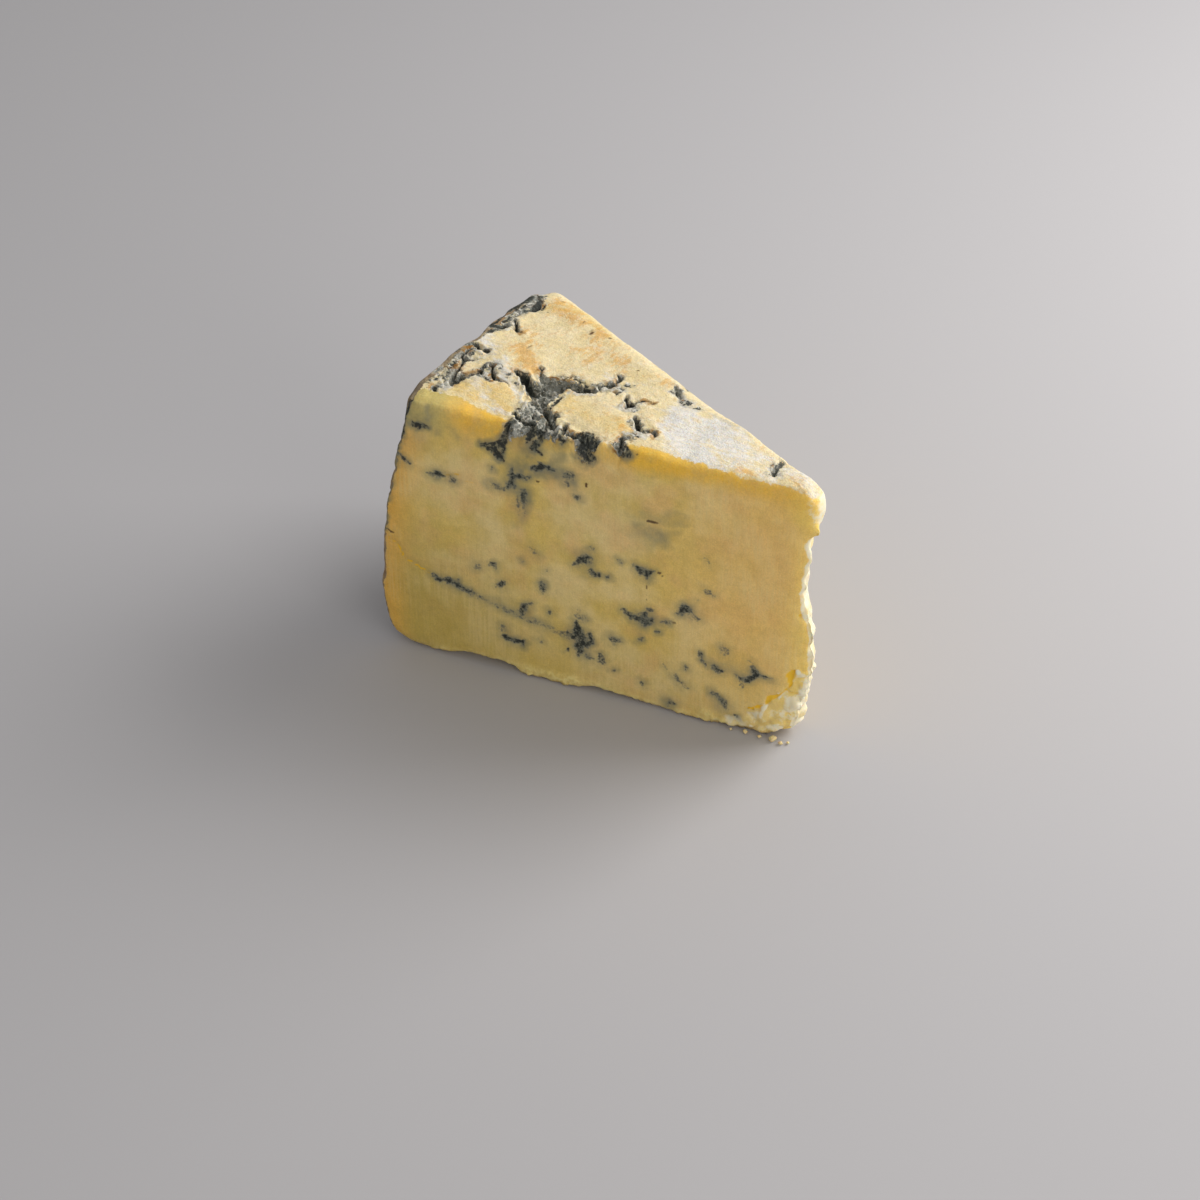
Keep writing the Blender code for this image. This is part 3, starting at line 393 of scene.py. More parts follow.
# %% The veins of the front face
FRONT_VEINS = routes_on(on_front, (
    # Below the fissure's mouth.
    ((69, 57.5, 1.1, 0.9), (67.5, 58.2, 1.1, 1.0), (64.7, 58, 0.6, 0.8)),
    ((62.5, 57, 0.8, 0.7), (61.5, 58, 0.9, 0.8), (60.3, 57.3, 0.7, 0.7)),
    ((62, 55.7, 0.9, 0.8),),
    ((59.3, 52.8, 0.7, 0.7), (60.3, 53.2, 0.4, 0.5)),
    ((78.5, 55, 0.6, 0.5), (78.2, 54.2, 0.4, 0.5)),
    ((74, 56, 0.5, 0.8), (73.8, 54, 0.6, 0.9), (74.5, 52, 1.1, 1.0), (73.5, 51.3, 0.7, 0.8)),
    ((75, 54.3, 0.4, 0.7), (71.5, 54.5, 0.8, 0.9), (70.3, 55, 0.7, 0.8)),
    ((79, 50.3, 0.5, 0.4), (77.5, 50.5, 0.8, 0.5), (75, 51, 0.6, 0.6)),
    ((71.3, 51, 1.0, 1.0), (71.2, 49, 0.7, 0.8), (71.8, 46.5, 0.5, 0.5), (71.6, 43, 0.4, 0.25)),
    ((72.7, 49, 0.5, 0.5), (72.9, 44.5, 0.4, 0.25)),
    # At the left, by the rind.
    ((100, 53, 0.6, 0.9), (98.8, 51.7, 0.8, 1.0), (98, 51, 0.4, 0.7)),
    ((93.2, 49.5, 0.5, 0.7), (91, 50, 1.2, 1.0), (89.5, 49.7, 0.7, 0.8)),
    ((87.6, 49.5, 0.7, 0.8), (86, 49.7, 0.4, 0.5)),
    ((90.3, 61, 0.4, 0.5),),
    # The long thin vein that rises to the rind.
    ((93.2, 22.2, 0.5, 0.9), (91.5, 21.7, 0.7, 1.0), (89, 21.3, 0.6, 0.9), (87.3, 20.7, 0.8, 1.0),
     (85.7, 20.2, 0.5, 0.8), (83, 19.5, 0.7, 0.5), (80, 18.6, 0.8, 0.42), (76, 17.8, 0.9, 0.4),
     (72, 16.8, 0.8, 0.36), (65, 15, 0.8, 0.36), (61.5, 14.5, 0.8, 0.5)),
    ((87.4, 22.4, 0.6, 0.9),),
    # The middle.
    ((56.5, 40.4, 0.5, 0.9),),
    ((60, 35, 0.8, 0.6), (58.7, 36, 1.6, 0.75), (57, 37.2, 1.3, 0.8)),
    ((56.3, 33.3, 1.1, 0.9), (54.5, 33.8, 0.6, 0.7)),
    ((52.7, 33.5, 0.5, 1.0),),
    ((70, 35.8, 1.1, 0.5), (69, 34.8, 0.8, 0.7)),
    ((72, 32, 0.4, 0.8),),
    ((66.8, 31, 0.7, 0.35),),
    ((82.8, 27.5, 0.9, 0.45), (82, 27.8, 0.6, 0.5)),
    ((80, 28.2, 0.4, 0.4), (78.7, 28.5, 0.9, 0.85)),
    ((78.3, 23.6, 0.5, 0.5), (77, 24, 0.9, 0.95), (76.4, 24.2, 0.4, 0.7)),
    ((67.4, 26.9, 0.9, 0.9), (67.4, 25.5, 0.6, 0.7)),
    ((72.4, 18.5, 1.2, 1.0), (71.5, 19.8, 0.7, 0.8), (70.3, 20.7, 0.4, 0.6)),
    ((66.2, 20, 0.6, 0.8),),
    # The big cluster low in the middle.
    ((59.3, 22.5, 0.4, 0.4), (59.5, 20.5, 0.8, 0.7), (58, 20, 0.8, 0.6)),
    ((60, 19, 0.7, 0.8), (59.5, 16.5, 1.4, 1.0), (58.8, 14, 1.5, 1.0), (59.2, 11.5, 1.1, 1.0),
     (59.7, 10, 0.7, 0.8)),
    ((57, 16.2, 0.8, 0.9), (56.6, 14.7, 0.7, 0.9), (57.8, 13, 0.8, 0.9)),
    ((61.8, 15, 1.0, 0.9), (60.5, 14.5, 0.8, 0.9)),
    ((62, 11, 0.5, 0.8), (62, 10.2, 0.4, 0.6)),
    ((57.3, 10, 0.9, 0.7), (55.8, 9.6, 0.6, 0.5)),
    ((54.3, 11.4, 0.5, 0.7), (53.9, 9.8, 0.8, 0.9), (54.5, 9, 0.5, 0.6)),
    ((51.6, 8.2, 0.6, 0.8),),
    ((77, 12.4, 0.8, 0.9),),
    ((76.8, 10.3, 0.7, 0.9), (75.7, 9.2, 0.8, 1.0), (74, 9.6, 0.9, 1.0), (72.5, 9.3, 0.8, 1.0),
     (72, 10.2, 0.4, 0.6)),
    ((69.5, 11.2, 0.4, 0.4), (68, 11, 0.4, 0.5)),
    # To the right of the middle.
    ((31, 44.8, 0.4, 0.35), (30, 43.5, 0.4, 0.3)),
    ((49.9, 38.5, 0.6, 0.7),),
    ((46.6, 38.5, 0.5, 0.7), (45.5, 37.3, 0.8, 0.9), (44.2, 37, 1.2, 1.0), (43.2, 37.6, 0.8, 0.9)),
    ((31.4, 36.3, 0.5, 0.45), (30.3, 35.9, 0.5, 0.5), (29.2, 35.2, 0.4, 0.4)),
    ((36.8, 28.5, 0.6, 0.8), (35.8, 29.3, 1.2, 1.0), (34.8, 29.9, 1.2, 1.0), (35.5, 31, 0.6, 0.7)),
    ((34, 28.4, 1.2, 0.5), (32.3, 28.5, 0.8, 0.4)),
    ((33, 33, 0.4, 0.35),),
    ((49.3, 25.5, 0.4, 0.6), (47.5, 24.5, 0.6, 0.9), (46, 24.2, 0.9, 0.95), (44.5, 23.7, 1.2, 1.0),
     (42.7, 24.2, 1.0, 0.9)),
    ((45, 25.5, 0.8, 0.8), (43.2, 26.7, 0.7, 0.8), (42.5, 27.4, 0.4, 0.5)),
    ((40.2, 24.8, 0.6, 0.8), (38.5, 25.2, 0.4, 0.7)),
    ((40.7, 22, 0.5, 0.9),),
    ((45.3, 20.4, 0.4, 0.6), (45.2, 18.5, 0.6, 0.9), (46.2, 18.2, 0.3, 0.6)),
    ((51.2, 16.5, 1.0, 0.85), (50.2, 17, 0.6, 0.6)),
    ((26.3, 22, 1.0, 0.42), (26, 20.8, 1.0, 0.48)),
    ((31.4, 18.9, 0.5, 0.9), (31, 17, 0.5, 0.9), (30.2, 16.3, 0.4, 0.7)),
    ((28.8, 16.4, 0.6, 0.8), (27.5, 15.8, 1.0, 0.9), (26.3, 15.5, 0.5, 0.7)),
    ((20.2, 20, 0.6, 0.5), (19.8, 18, 0.7, 0.8), (19.3, 16.8, 0.9, 1.0), (17.8, 16.6, 0.5, 0.9),
     (16.4, 16.6, 0.4, 0.8)),
    ((19.3, 16.4, 0.8, 1.0), (21, 15.3, 0.8, 1.0), (23.6, 15.6, 0.4, 0.6)),
    ((22, 13.6, 0.8, 0.6),),
    ((34.8, 14.4, 0.4, 0.6), (34.6, 13.4, 0.6, 0.9)),
    ((39.7, 13.4, 0.4, 0.4), (39, 12.6, 0.4, 0.35)),
    ((37.2, 10.7, 0.8, 0.5), (35.5, 9.5, 1.0, 0.5), (34.5, 8.7, 0.6, 0.4)),
    ((28.3, 9.5, 0.6, 0.7), (27, 8.2, 0.7, 0.8), (26, 7, 0.8, 0.8), (25.5, 6, 1.0, 0.55), (25, 4.7, 0.8, 0.5)),
    ((23.5, 3.9, 0.6, 0.8),),
    ((44.6, 6.2, 0.6, 0.8), (44.2, 5.4, 0.3, 0.5)),
    ((38.2, 2.4, 1.1, 0.75), (37.2, 2.9, 0.6, 0.6)),
))
print(len(FRONT_VEINS), "veins,", sum(len(route) for route in FRONT_VEINS), "stops")

# %% [markdown]
# ## Softer marks
#
# Not every mark is mould. There are grey smudges where mould lies just under the surface, thin brown
# cracks, a pinkish stretch where the needle's hole has healed, warm orange patches on the crust and a
# white bloom of yeast. They are routes too, only wider and weaker.

# %% Smudges, cracks and patches
FRONT_SMUDGES = routes_on(on_front, (
    ((70, 66, 4.2, 0.8), (70.5, 60, 4.4, 0.8), (72, 56, 3.2, 0.7)), ((76.5, 60, 2.8, 0.6),),
    ((58, 64.5, 2.6, 0.6),),
    ((50.2, 66.5, 1.8, 0.5),), ((63.5, 66, 2.4, 0.7), (64.5, 60, 2.6, 0.6)), ((94.8, 64.5, 2.6, 0.5),),
    ((73, 53, 2.5, 0.6), (77, 50.5, 2.0, 0.4)),
    ((72, 48, 2.2, 0.45), (72, 42, 1.6, 0.25)),
    ((66, 57.5, 2.8, 0.8), (61, 57, 2.8, 0.75)),
    ((46, 48.3, 2.8, 0.6), (41, 47.6, 2.6, 0.65), (37.5, 48.5, 1.7, 0.45)),
    ((45.5, 52.5, 2.4, 0.4), (38, 53, 2.0, 0.48), (35.5, 52.5, 1.2, 0.35)),
    ((44.5, 45, 2.2, 0.26),),
    ((59, 15, 4.5, 0.35), (58, 10, 3.5, 0.3)),
    ((45, 24.5, 4.0, 0.3),),
    ((26, 6, 2.6, 0.4), (28, 9.5, 1.6, 0.3)),
    ((36, 9.5, 2.4, 0.35),),
    ((33, 28.5, 2.6, 0.35),),
    ((20, 16.5, 3.2, 0.3),),
    ((58.5, 36, 3.2, 0.3),),
    ((26.2, 21.5, 2.0, 0.35),),
    ((38.5, 2.5, 2.4, 0.5),),
    ((86, 20.5, 2.0, 0.35), (72, 17, 2.6, 0.5), (63, 15, 2.6, 0.4)),
    ((95, 58, 4.0, 0.3), (93, 64.5, 2.5, 0.35)),
    ((43.5, 62, 0.5, 0.3),),
))
BLUE_VEILS = routes_on(on_front, (
    ((73.5, 67.5, 1.8, 0.8), (75.3, 63.5, 2.0, 0.85), (77.5, 60.5, 2.2, 0.8), (76.6, 57.5, 1.6, 0.7)),
    ((71.0, 67.5, 1.8, 0.85), (69.8, 64.8, 1.8, 0.8), (68.5, 62.0, 1.6, 0.7)),
    ((63.5, 67.5, 1.6, 0.8), (62.5, 65.5, 1.2, 0.6)),
    ((58.2, 66.5, 1.8, 0.5), (57.6, 63.3, 2.4, 0.85)), ((50.5, 67.0, 1.8, 0.8), (48.8, 65.8, 1.7, 0.6)),
    ((68.5, 57.0, 2.4, 0.85), (65.5, 58.0, 2.0, 0.8), (62.0, 57.3, 2.2, 0.8), (60.3, 56.4, 1.8, 0.7)),
    ((74.5, 56.8, 1.6, 0.7), (73.8, 54.0, 2.0, 0.85), (74.3, 52.0, 2.3, 0.85), (71.5, 50.3, 2.0, 0.85),
     (71.0, 47.5, 1.6, 0.65),
     (71.8, 43.5, 1.3, 0.4)),
    ((72.5, 55.3, 1.9, 0.75), (70.3, 55.0, 1.6, 0.6)), ((80.0, 50.8, 1.5, 0.5), (77.0, 51.0, 1.8, 0.65)),
    ((78.3, 54.8, 1.5, 0.55),),
    ((97.5, 61.5, 1.0, 0.4), (94.6, 61.2, 1.4, 0.6), (92.4, 64.5, 1.0, 0.6), (92.6, 68.0, 0.9, 0.6)),
    ((87.5, 63.0, 1.0, 0.3), (86.0, 60.5, 1.0, 0.3)),
    ((59.5, 15.0, 3.4, 0.5), (58.0, 11.0, 3.0, 0.5)), ((45.0, 24.3, 3.2, 0.5), (42.8, 25.5, 2.2, 0.4)),
    ((35.3, 29.3, 2.2, 0.5), (33.0, 28.6, 1.6, 0.4)),
    ((58.0, 36.0, 2.4, 0.5), (55.0, 33.5, 1.8, 0.4)), ((44.5, 37.2, 2.0, 0.45),),
    ((19.5, 16.5, 2.6, 0.45), (30.5, 17.3, 1.8, 0.35)),
    ((26.5, 6.0, 2.6, 0.5), (28.2, 9.0, 1.5, 0.4)), ((74.5, 9.8, 2.2, 0.45),), ((51.0, 16.7, 1.6, 0.45),),
    ((39.0, 2.5, 2.2, 0.55),),
    ((26.2, 21.5, 1.8, 0.35),), ((45.0, 47.5, 1.6, 0.3), (40.0, 47.5, 1.8, 0.35)), ((36.5, 9.8, 1.9, 0.45),),
    ((89.0, 21.2, 1.3, 0.5), (84.0, 19.7, 1.2, 0.4), (76.0, 17.8, 1.4, 0.35), (66.0, 15.3, 1.4, 0.3)),
    ((91.0, 50.0, 1.6, 0.45),),
))
BROWN_MARKS = routes_on(on_front, (
    ((45.3, 51.5, 0.22, 0.7), (43.7, 50.9, 0.25, 0.9), (42.3, 51.1, 0.25, 0.9), (41.1, 51.5, 0.2, 0.6)),
    ((61.5, 67.2, 0.7, 0.9), (60, 66, 0.6, 0.8)), ((56, 67.3, 0.8, 0.9), (55, 66.5, 0.5, 0.7)),
    ((47.2, 66.7, 0.6, 0.8),), ((57, 56.2, 0.4, 0.9),), ((68.2, 54.1, 0.5, 0.7),),
    ((104.6, 32.2, 0.3, 0.8), (101.2, 31.4, 0.3, 0.7)), ((41.6, 37.8, 0.4, 0.7), (40.6, 37.2, 0.3, 0.8)),
    ((20.6, 6.9, 0.3, 0.8), (19.2, 7.3, 0.3, 0.7)), ((44, 34.5, 0.15, 0.55), (44, 29.5, 0.12, 0.45)),
    ((37, 25.5, 0.3, 0.5), (39, 25.2, 0.3, 0.5)), ((71, 20.8, 0.3, 0.5),), ((66.3, 20.3, 0.4, 0.5),),
)) + routes_on(on_crust, (
    ((-83.3, 19.2, 0.5, 0.5),), ((-79.4, 17.1, 0.7, 0.7), (-78.6, 16.4, 0.5, 0.7)), ((-75.3, 17.3, 0.5, 0.6),),
    ((-91.3, 17, 0.4, 0.5),), ((-62.4, 11, 0.35, 0.8),), ((-65, 11.3, 0.3, 0.5),), ((-91.5, 22.4, 0.6, 0.5),),
    ((-86, 4.6, 0.6, 0.5), (-85.3, 2.6, 0.4, 0.4)), ((-72, 3, 0.5, 0.4),), ((-76, 2, 0.5, 0.4),),
    ((-15.5, -0.8, 0.8, 0.3), (-11, -2.6, 0.6, 0.3)),
))
PINK_STRETCH = routes_on(on_front, (
    ((104, 29, 3.5, 0.5), (99, 25.5, 3.5, 0.8), (93, 25, 2.5, 0.6), (84, 23, 2.0, 0.4)),
))
FINE_CRACKS = routes_on(on_front, (
    ((104.6, 30, 0.25, 0.6), (101.5, 28.3, 0.3, 0.8), (100.2, 25.3, 0.3, 1.0), (97.5, 24, 0.35, 0.9),
     (94, 22.4, 0.3, 0.7)),
    ((90, 50.2, 0.3, 0.7), (87, 50.7, 0.3, 0.8), (85, 51.5, 0.2, 0.6)),
    ((89, 49, 0.25, 0.7), (86, 48.8, 0.25, 0.6)),
    ((85, 50, 0.2, 0.5), (81, 49.6, 0.25, 0.6), (77, 49.2, 0.2, 0.4)),
    ((79, 47, 0.2, 0.3), (68, 44.5, 0.2, 0.3)), ((44.2, 62.7, 0.25, 0.6), (42.2, 62, 0.2, 0.4)),
))
CORNER_CRACK = routes_on(on_front, (
    ((12.4, 20.2, 0.7, 0.9), (13.2, 18.2, 0.95, 1.0), (12.9, 15.8, 0.55, 0.9), (14, 13.5, 0.35, 0.9),
     (15.5, 11.8, 0.75, 1.0),
     (16.6, 10.2, 0.75, 1.0)),
    ((16.8, 9.8, 0.3, 0.6), (18.2, 8.2, 0.5, 0.7), (20.5, 7, 0.45, 0.8)), ((12, 35.2, 0.7, 0.6),),
    ((13.5, 14.5, 0.3, 0.6), (10.5, 12.5, 0.3, 0.5)), ((13.5, 7.5, 0.3, 0.5), (10, 6, 0.3, 0.5)),
))
CORNER_CURD = routes_on(on_front, (
    ((10, 19, 2.0, 0.8), (11, 14, 2.8, 1.0), (12.5, 9, 4.5, 1.0), (15, 4.5, 4.5, 1.0), (21, 2.5, 2.8, 0.9),
     (27, 1.0, 1.6, 0.8)),
))
STRIP_LUMPS = routes_on(on_front, (
    ((9.6, 56.5, 1.3, 0.9),), ((9.4, 51.5, 1.0, 0.8),), ((10.2, 46.5, 1.7, 1.0),), ((9.6, 41.0, 1.1, 0.8),),
    ((10.0, 35.5, 1.6, 1.0),),
    ((8.8, 30.5, 1.3, 0.9),), ((8.4, 25.0, 1.4, 0.8),), ((8.6, 19.5, 1.1, 0.7),), ((8.2, 10.0, 1.6, 0.9),),
    ((16.8, 9.0, 0.8, 1.0), (17.4, 6.0, 0.7, 0.8)),
    ((14.2, 13.5, 0.5, 0.8), (13.6, 11.0, 0.6, 0.8)), ((11.5, 20.3, 0.8, 0.6),), ((14.0, 4.0, 1.2, 0.8),),
    ((19.5, 2.0, 0.8, 0.8),),
))
FRONT_DOME = routes_on(on_front, (((94.7, 64.8, 2.4, 1.0),),))
WARM_PATCHES = routes_on(on_crust, (
    ((-87, 3.5, 4.5, 0.75), (-83, -1, 3.5, 0.9), (-79, -2.5, 2.0, 0.8)),
    ((-92, 21, 3.5, 0.7), (-84, 19, 3.5, 0.6)),
    ((-79, 16.5, 3.0, 0.8), (-72, 15.5, 3.5, 0.5)), ((-76, 9, 5.0, 0.5), (-68, 11, 4.0, 0.5)),
    ((-91, 9, 3.0, 0.4),), ((-44, -2.5, 3.5, 0.5), (-42, -5, 2.0, 0.5)), ((-50.5, -8.5, 2.5, 0.8),),
    ((-28, 3, 3.0, 0.4),), ((-25, -4.6, 1.2, 0.7), (-21, -4.2, 0.8, 0.6)),
    ((-16, -1, 1.6, 0.7), (-10, -3, 1.5, 0.7)),
    ((-55, 11, 2.5, 0.4),), ((-72, -2, 3.0, 0.4),),
))
LOW_LIP = routes_on(on_front, (
    ((95.0, 0.6, 0.8, 0.4), (88.0, 2.4, 0.8, 0.5), (77.5, 3.0, 1.0, 0.6), (74.0, 1.4, 1.6, 0.9),
     (66.0, 1.5, 2.2, 1.0),
     (59.0, 1.9, 1.8, 1.0), (50.0, 1.4, 1.0, 0.7), (40.0, 0.6, 0.8, 0.7), (28.0, 0.8, 1.0, 0.9)),
    ((30.5, 2.2, 1.0, 0.8), (27.5, 1.4, 1.2, 0.9), (22.0, 1.0, 1.2, 0.9)),
))
BLOOM_PATCHES = routes_on(on_crust, (
    ((-46, 4, 4.5, 0.9), (-42, 0, 6.5, 1.0), (-38, -4, 6.0, 1.0), (-33, -6.5, 4.0, 1.0), (-29, -6.5, 2.5, 0.8)),
    ((-38, 4, 5.0, 1.0), (-31, 1, 5.0, 0.95), (-27, -2, 4.0, 0.7)),
    ((-24, 1, 4.0, 0.55), (-20, -3, 3.0, 0.55), (-15, 1.5, 3.0, 0.65), (-10, -1, 2.5, 0.6)),
    ((-53, 9.5, 1.5, 0.6), (-47, 8, 2.0, 0.8)), ((-57, -2, 1.4, 0.5), (-54, 1.5, 1.2, 0.5)),
    ((-47, -6.5, 1.5, 0.7), (-45.5, -4, 1.2, 0.5)),
    ((-66, 5.5, 1.6, 0.4), (-60, 4, 2.0, 0.5)),
    ((-87, -5, 3.0, 0.7), (-82, -8, 2.0, 0.7), (-77, -11, 1.2, 0.6)),
    ((-94, -8, 3.0, 0.6),), ((-96, 1, 3.0, 0.6), (-90, -3, 2.0, 0.6)),
    ((-88, -12, 2.5, 0.4), (-80, -18, 1.5, 0.5), (-74, -17.5, 0.7, 0.7)),
))
YELLOW_PATCHES = routes_on(on_crust, (
    ((-88, -16, 4.5, 0.7), (-80, -15, 4.5, 0.7), (-76, -17, 3.0, 0.8)),
    ((-96, 16, 3.0, 0.4), (-88, 22, 2.0, 0.7), (-75, 18.5, 1.5, 0.5)),
    ((-66, -7, 4.0, 0.5), (-58, -9, 4.0, 0.5), (-53, -8, 3.5, 0.6)),
    ((-86, -8.5, 2.0, 0.5), (-79, -10.5, 1.5, 0.5)), ((-61, 10, 4.0, 0.4),),
    ((-46, -13, 3.0, 0.6), (-38, -10.5, 1.2, 0.5)),
))
print(len(FRONT_SMUDGES) + len(WARM_PATCHES) + len(BLOOM_PATCHES), "soft patches")

# %% [markdown]
# ## Veins where nobody has looked yet
#
# The back cut face was parted from its neighbour by the same knife, so it shows the same kind of veins.
# Nobody knows where, so a seeded random draw places them: a cluster is one walk of short steps, which
# gives the broken lines that a needle leaves.

# %% Seeded veins for the back
def seeded_veins(face, seed, clusters, across, heights, slant):
    """Clusters of short broken veins, scattered over a face."""
    draw = random.Random(seed)
    routes = []
    for _ in range(clusters):
        a, b = draw.uniform(*across), draw.uniform(*heights)
        heading = draw.gauss(slant, 0.7)
        width = draw.uniform(0.5, 1.3)
        route = []
        for _ in range(draw.randint(1, 5)):
            route.append((a, b, width * draw.uniform(0.6, 1.2), draw.uniform(0.6, 1.0)))
            stride = draw.uniform(1.0, 2.4)
            heading += draw.gauss(0.0, 0.5)
            a += stride * math.cos(heading)
            b += stride * math.sin(heading)
        routes.append(route)
    return routes_on(face, routes)


BACK_VEINS = seeded_veins(on_back, 4, 46, (18, 98), (6, 56), 0.4)
BACK_VEINS += seeded_veins(on_back, 9, 12, (50, 92), (52, 66), 1.2)
print(len(BACK_VEINS), "veins on the back")

# %% [markdown]
# ## Finer faces where the detail is
#
# Fissures, the broken tip and the crumbling corner need smaller faces than a flat cut does. Splitting
# only the faces there in four costs little, and it keeps the whole skin closed.

# %% Split the faces near the fissures and the tip
def split_faces(piece, wanted):
    """Splits every face that has a wanted point in four."""
    bm = bmesh.new()
    bm.from_mesh(piece.data)
    faces = [face for face in bm.faces if any(wanted[vertex.index] for vertex in face.verts)]
    edges = list({edge for face in faces for edge in face.edges})
    bmesh.ops.subdivide_edges(bm, edges=edges, cuts=1, use_grid_fill=True)
    bm.to_mesh(piece.data)
    bm.free()


def onto(points, out, face_point):
    """The points laid flat onto a face, so that depth doesn't count as distance."""
    return points - ((points - face_point) @ out)[:, None] * out


UP = np.array((0.0, 0.0, 1.0))
rough = points_of(wedge.data)
by_crust = near_routes(onto(rough, UP, on_crust(0, 0)), CRUST_FISSURES, 1.0, 1.0, solid=True)
by_crust *= rough[:, 2] > HEIGHT - 7 * MM
by_front = near_routes(onto(rough, FRONT_OUT, on_front(0, 0)), FRONT_FISSURES, 1.0, 0.6, solid=True)
by_front *= (-((rough - on_front(0, 0)) @ FRONT_OUT)) < 3 * MM
tip_radius = np.hypot(rough[:, 0] - AXIS_X, rough[:, 1])
by_tip = (tip_radius < 12.5 * MM) & (rough[:, 2] > 0.3 * MM)
split_faces(wedge, (by_crust > 0.05) | (by_front > 0.05) | by_tip)
print("after splitting:", len(wedge.data.vertices), "points,", len(wedge.data.polygons), "faces")

# %% [markdown]
# ## Which part of the skin is where
#
# Each point is told how much it belongs to the crust, the rind, a cut face, the broken tip or the
# underside. We read that from where the point lies and which way the relaxed skin faces there.

# %% Zones of the skin
skin = points_of(wedge.data)
facing = normals_of(wedge.data)
from_axis = skin - np.array((AXIS_X, 0.0, 0.0))
radius = np.hypot(from_axis[:, 0], from_axis[:, 1])
outwards = from_axis * (1, 1, 0) / radius[:, None]
front_depth = -(from_axis @ FRONT_OUT)
back_depth = -(from_axis @ BACK_OUT)
along_front = -(from_axis @ FRONT_ALONG)
height = skin[:, 2]

in_front = (1 - step(1.5 * MM, 4 * MM, front_depth)) * step(0.3, 0.75, facing @ FRONT_OUT)
in_back = (1 - step(1.5 * MM, 4 * MM, back_depth)) * step(0.3, 0.75, facing @ BACK_OUT)
in_rind = step(80 * MM, 84 * MM, radius) * step(0.35, 0.7, np.einsum("ij,ij->i", facing, outwards))
in_crust = step(HEIGHT - 9 * MM, HEIGHT - 6 * MM, height) * step(0.45, 0.75, facing[:, 2])
in_tip = 1 - step(9 * MM, 13 * MM, radius)
in_base = 1 - step(0.2 * MM, 1.5 * MM, height)
# The tip's face turned towards +X and the lamp, which gets a painted highlight.
tip_strip_highlight = step(0.5, 0.72,
    facing[:, 0]) * (1 - step(16 * MM, 18 * MM, radius)) * (1 - step(55 * MM, 59 * MM, height))
EDGE_AT = (-105, -92, -85, -78, -72, -66, -52, -45, -40, -30, -20, -12, 0)
EDGE_DEPTHS = (5.0, 5.4, 5.0, 3.2, 1.9, 1.2, 1.2, 2.7, 2.5, 1.5, 1.0, 0.7, 0.3)
edge_depth = np.interp(from_axis[:, 0] / MM, EDGE_AT, EDGE_DEPTHS) * MM
lean = 9.2 * MM * (np.maximum(height - 16 * MM, 0) / (51.5 * MM)) ** 1.6  # the rind leans in towards the crust
rind_distance = WHEEL_REACH - radius - lean
print("share of the skin that is cut face:", round(float(np.mean(in_front + in_back)), 2))

# %% [markdown]
# ## Closing the rough form, then cutting it crisply
#
# The solid's own fissures are soft dents, good enough to weigh and to drop. A real one has steep torn
# walls. So we first fill the dents up to the crust's level, which is a smooth curved surface fitted
# through its sound places, and then cut again along the finer routes. The outlines are ragged because
# we shift the points by noise before we ask how near a route they are.

# %% Fill the dents
def ragged(points, coarse, fine, seed):
    """The points shifted about by two sizes of noise, which makes any outline ragged."""
    shifted = points.copy()
    for axis in range(3):
        shifted[:, axis] += coarse * MM * lumps(points, 3.2, seed + axis)
        shifted[:, axis] += fine * MM * lumps(points, 1.1, seed + 3 + axis)
    return shifted


flat_skin = onto(skin, UP, on_crust(0, 0))
dented = near_routes(flat_skin, CRUST_FISSURES, 1.2, 1.6, solid=True)
reach_x, reach_y = from_axis[:, 0] / (50 * MM) + 1, from_axis[:, 1] / (30 * MM)
terms = np.stack([reach_x**i * reach_y**j for i in range(4) for j in range(4 - i)], axis=1)
sound = (in_crust > 0.9) & (dented == 0) & (front_depth > 3 * MM) & (back_depth > 5 * MM)
level = terms @ np.linalg.lstsq(terms[sound], height[sound], rcond=None)[0]
inside_rims = step(0.5 * MM, 1.8 * MM, front_depth) * step(2 * MM, 4.5 * MM, back_depth)
inside_rims *= step(0.1, 0.45, facing[:, 2]) * step(HEIGHT - 6 * MM, HEIGHT - 4 * MM, height)
dented = np.maximum(dented, (1 - step(3.0 * MM, 4.5 * MM, rind_distance)) * step(4 * MM, 9 * MM, back_depth))
fill_up = np.clip(level - height, 0, 2.6 * MM) * dented * inside_rims
near_front_cut = near_routes(onto(skin, FRONT_OUT, on_front(0, 0)), FRONT_FISSURES, 1.3, 1.8,
    solid=True) * in_front
fill_out = np.clip(front_depth, 0, 1.2 * MM) * near_front_cut * step(1.5 * MM, 3 * MM, HEIGHT - height)
filled = skin + UP * fill_up[:, None] + FRONT_OUT * fill_out[:, None]
print("sound crust points:", int(sound.sum()), "deepest fill, mm:", round(float(fill_up.max() / MM), 2))

# %% [markdown]
# ## Carving
#
# Now the points move. Fissures are cut with crumbs in them; veins in the cut face become shallow pits,
# because mould grows in hollows; the torn tip and the crumbling corner get their broken curd; the rind
# gets wrinkles and pits. Broken curd is rounded lumps with clefts between them, so it comes from a
# cell pattern and not from clouds of noise.

# %% Carve the skin
torn = ragged(skin, 0.8, 0.45, 1)
flat_top = onto(torn, UP, on_crust(0, 0))
in_top_layer = step(HEIGHT - 12 * MM, HEIGHT - 8 * MM, height)
below_crust = HEIGHT - height
open_face = (1 - step(0.6 * MM, 1.4 * MM, front_depth)) * step(0.8 * MM, 1.8 * MM, below_crust)
on_top = in_top_layer * (1 - open_face)
front_layer = (1 - step(2 * MM, 4 * MM, front_depth)) * step(52 * MM, 56 * MM, height) * step(0.1, 0.5,
    facing @ FRONT_OUT)

top_fissure = near_routes(flat_top, CRUST_FISSURES, edge=(0.75, 1.15), solid=True) * on_top
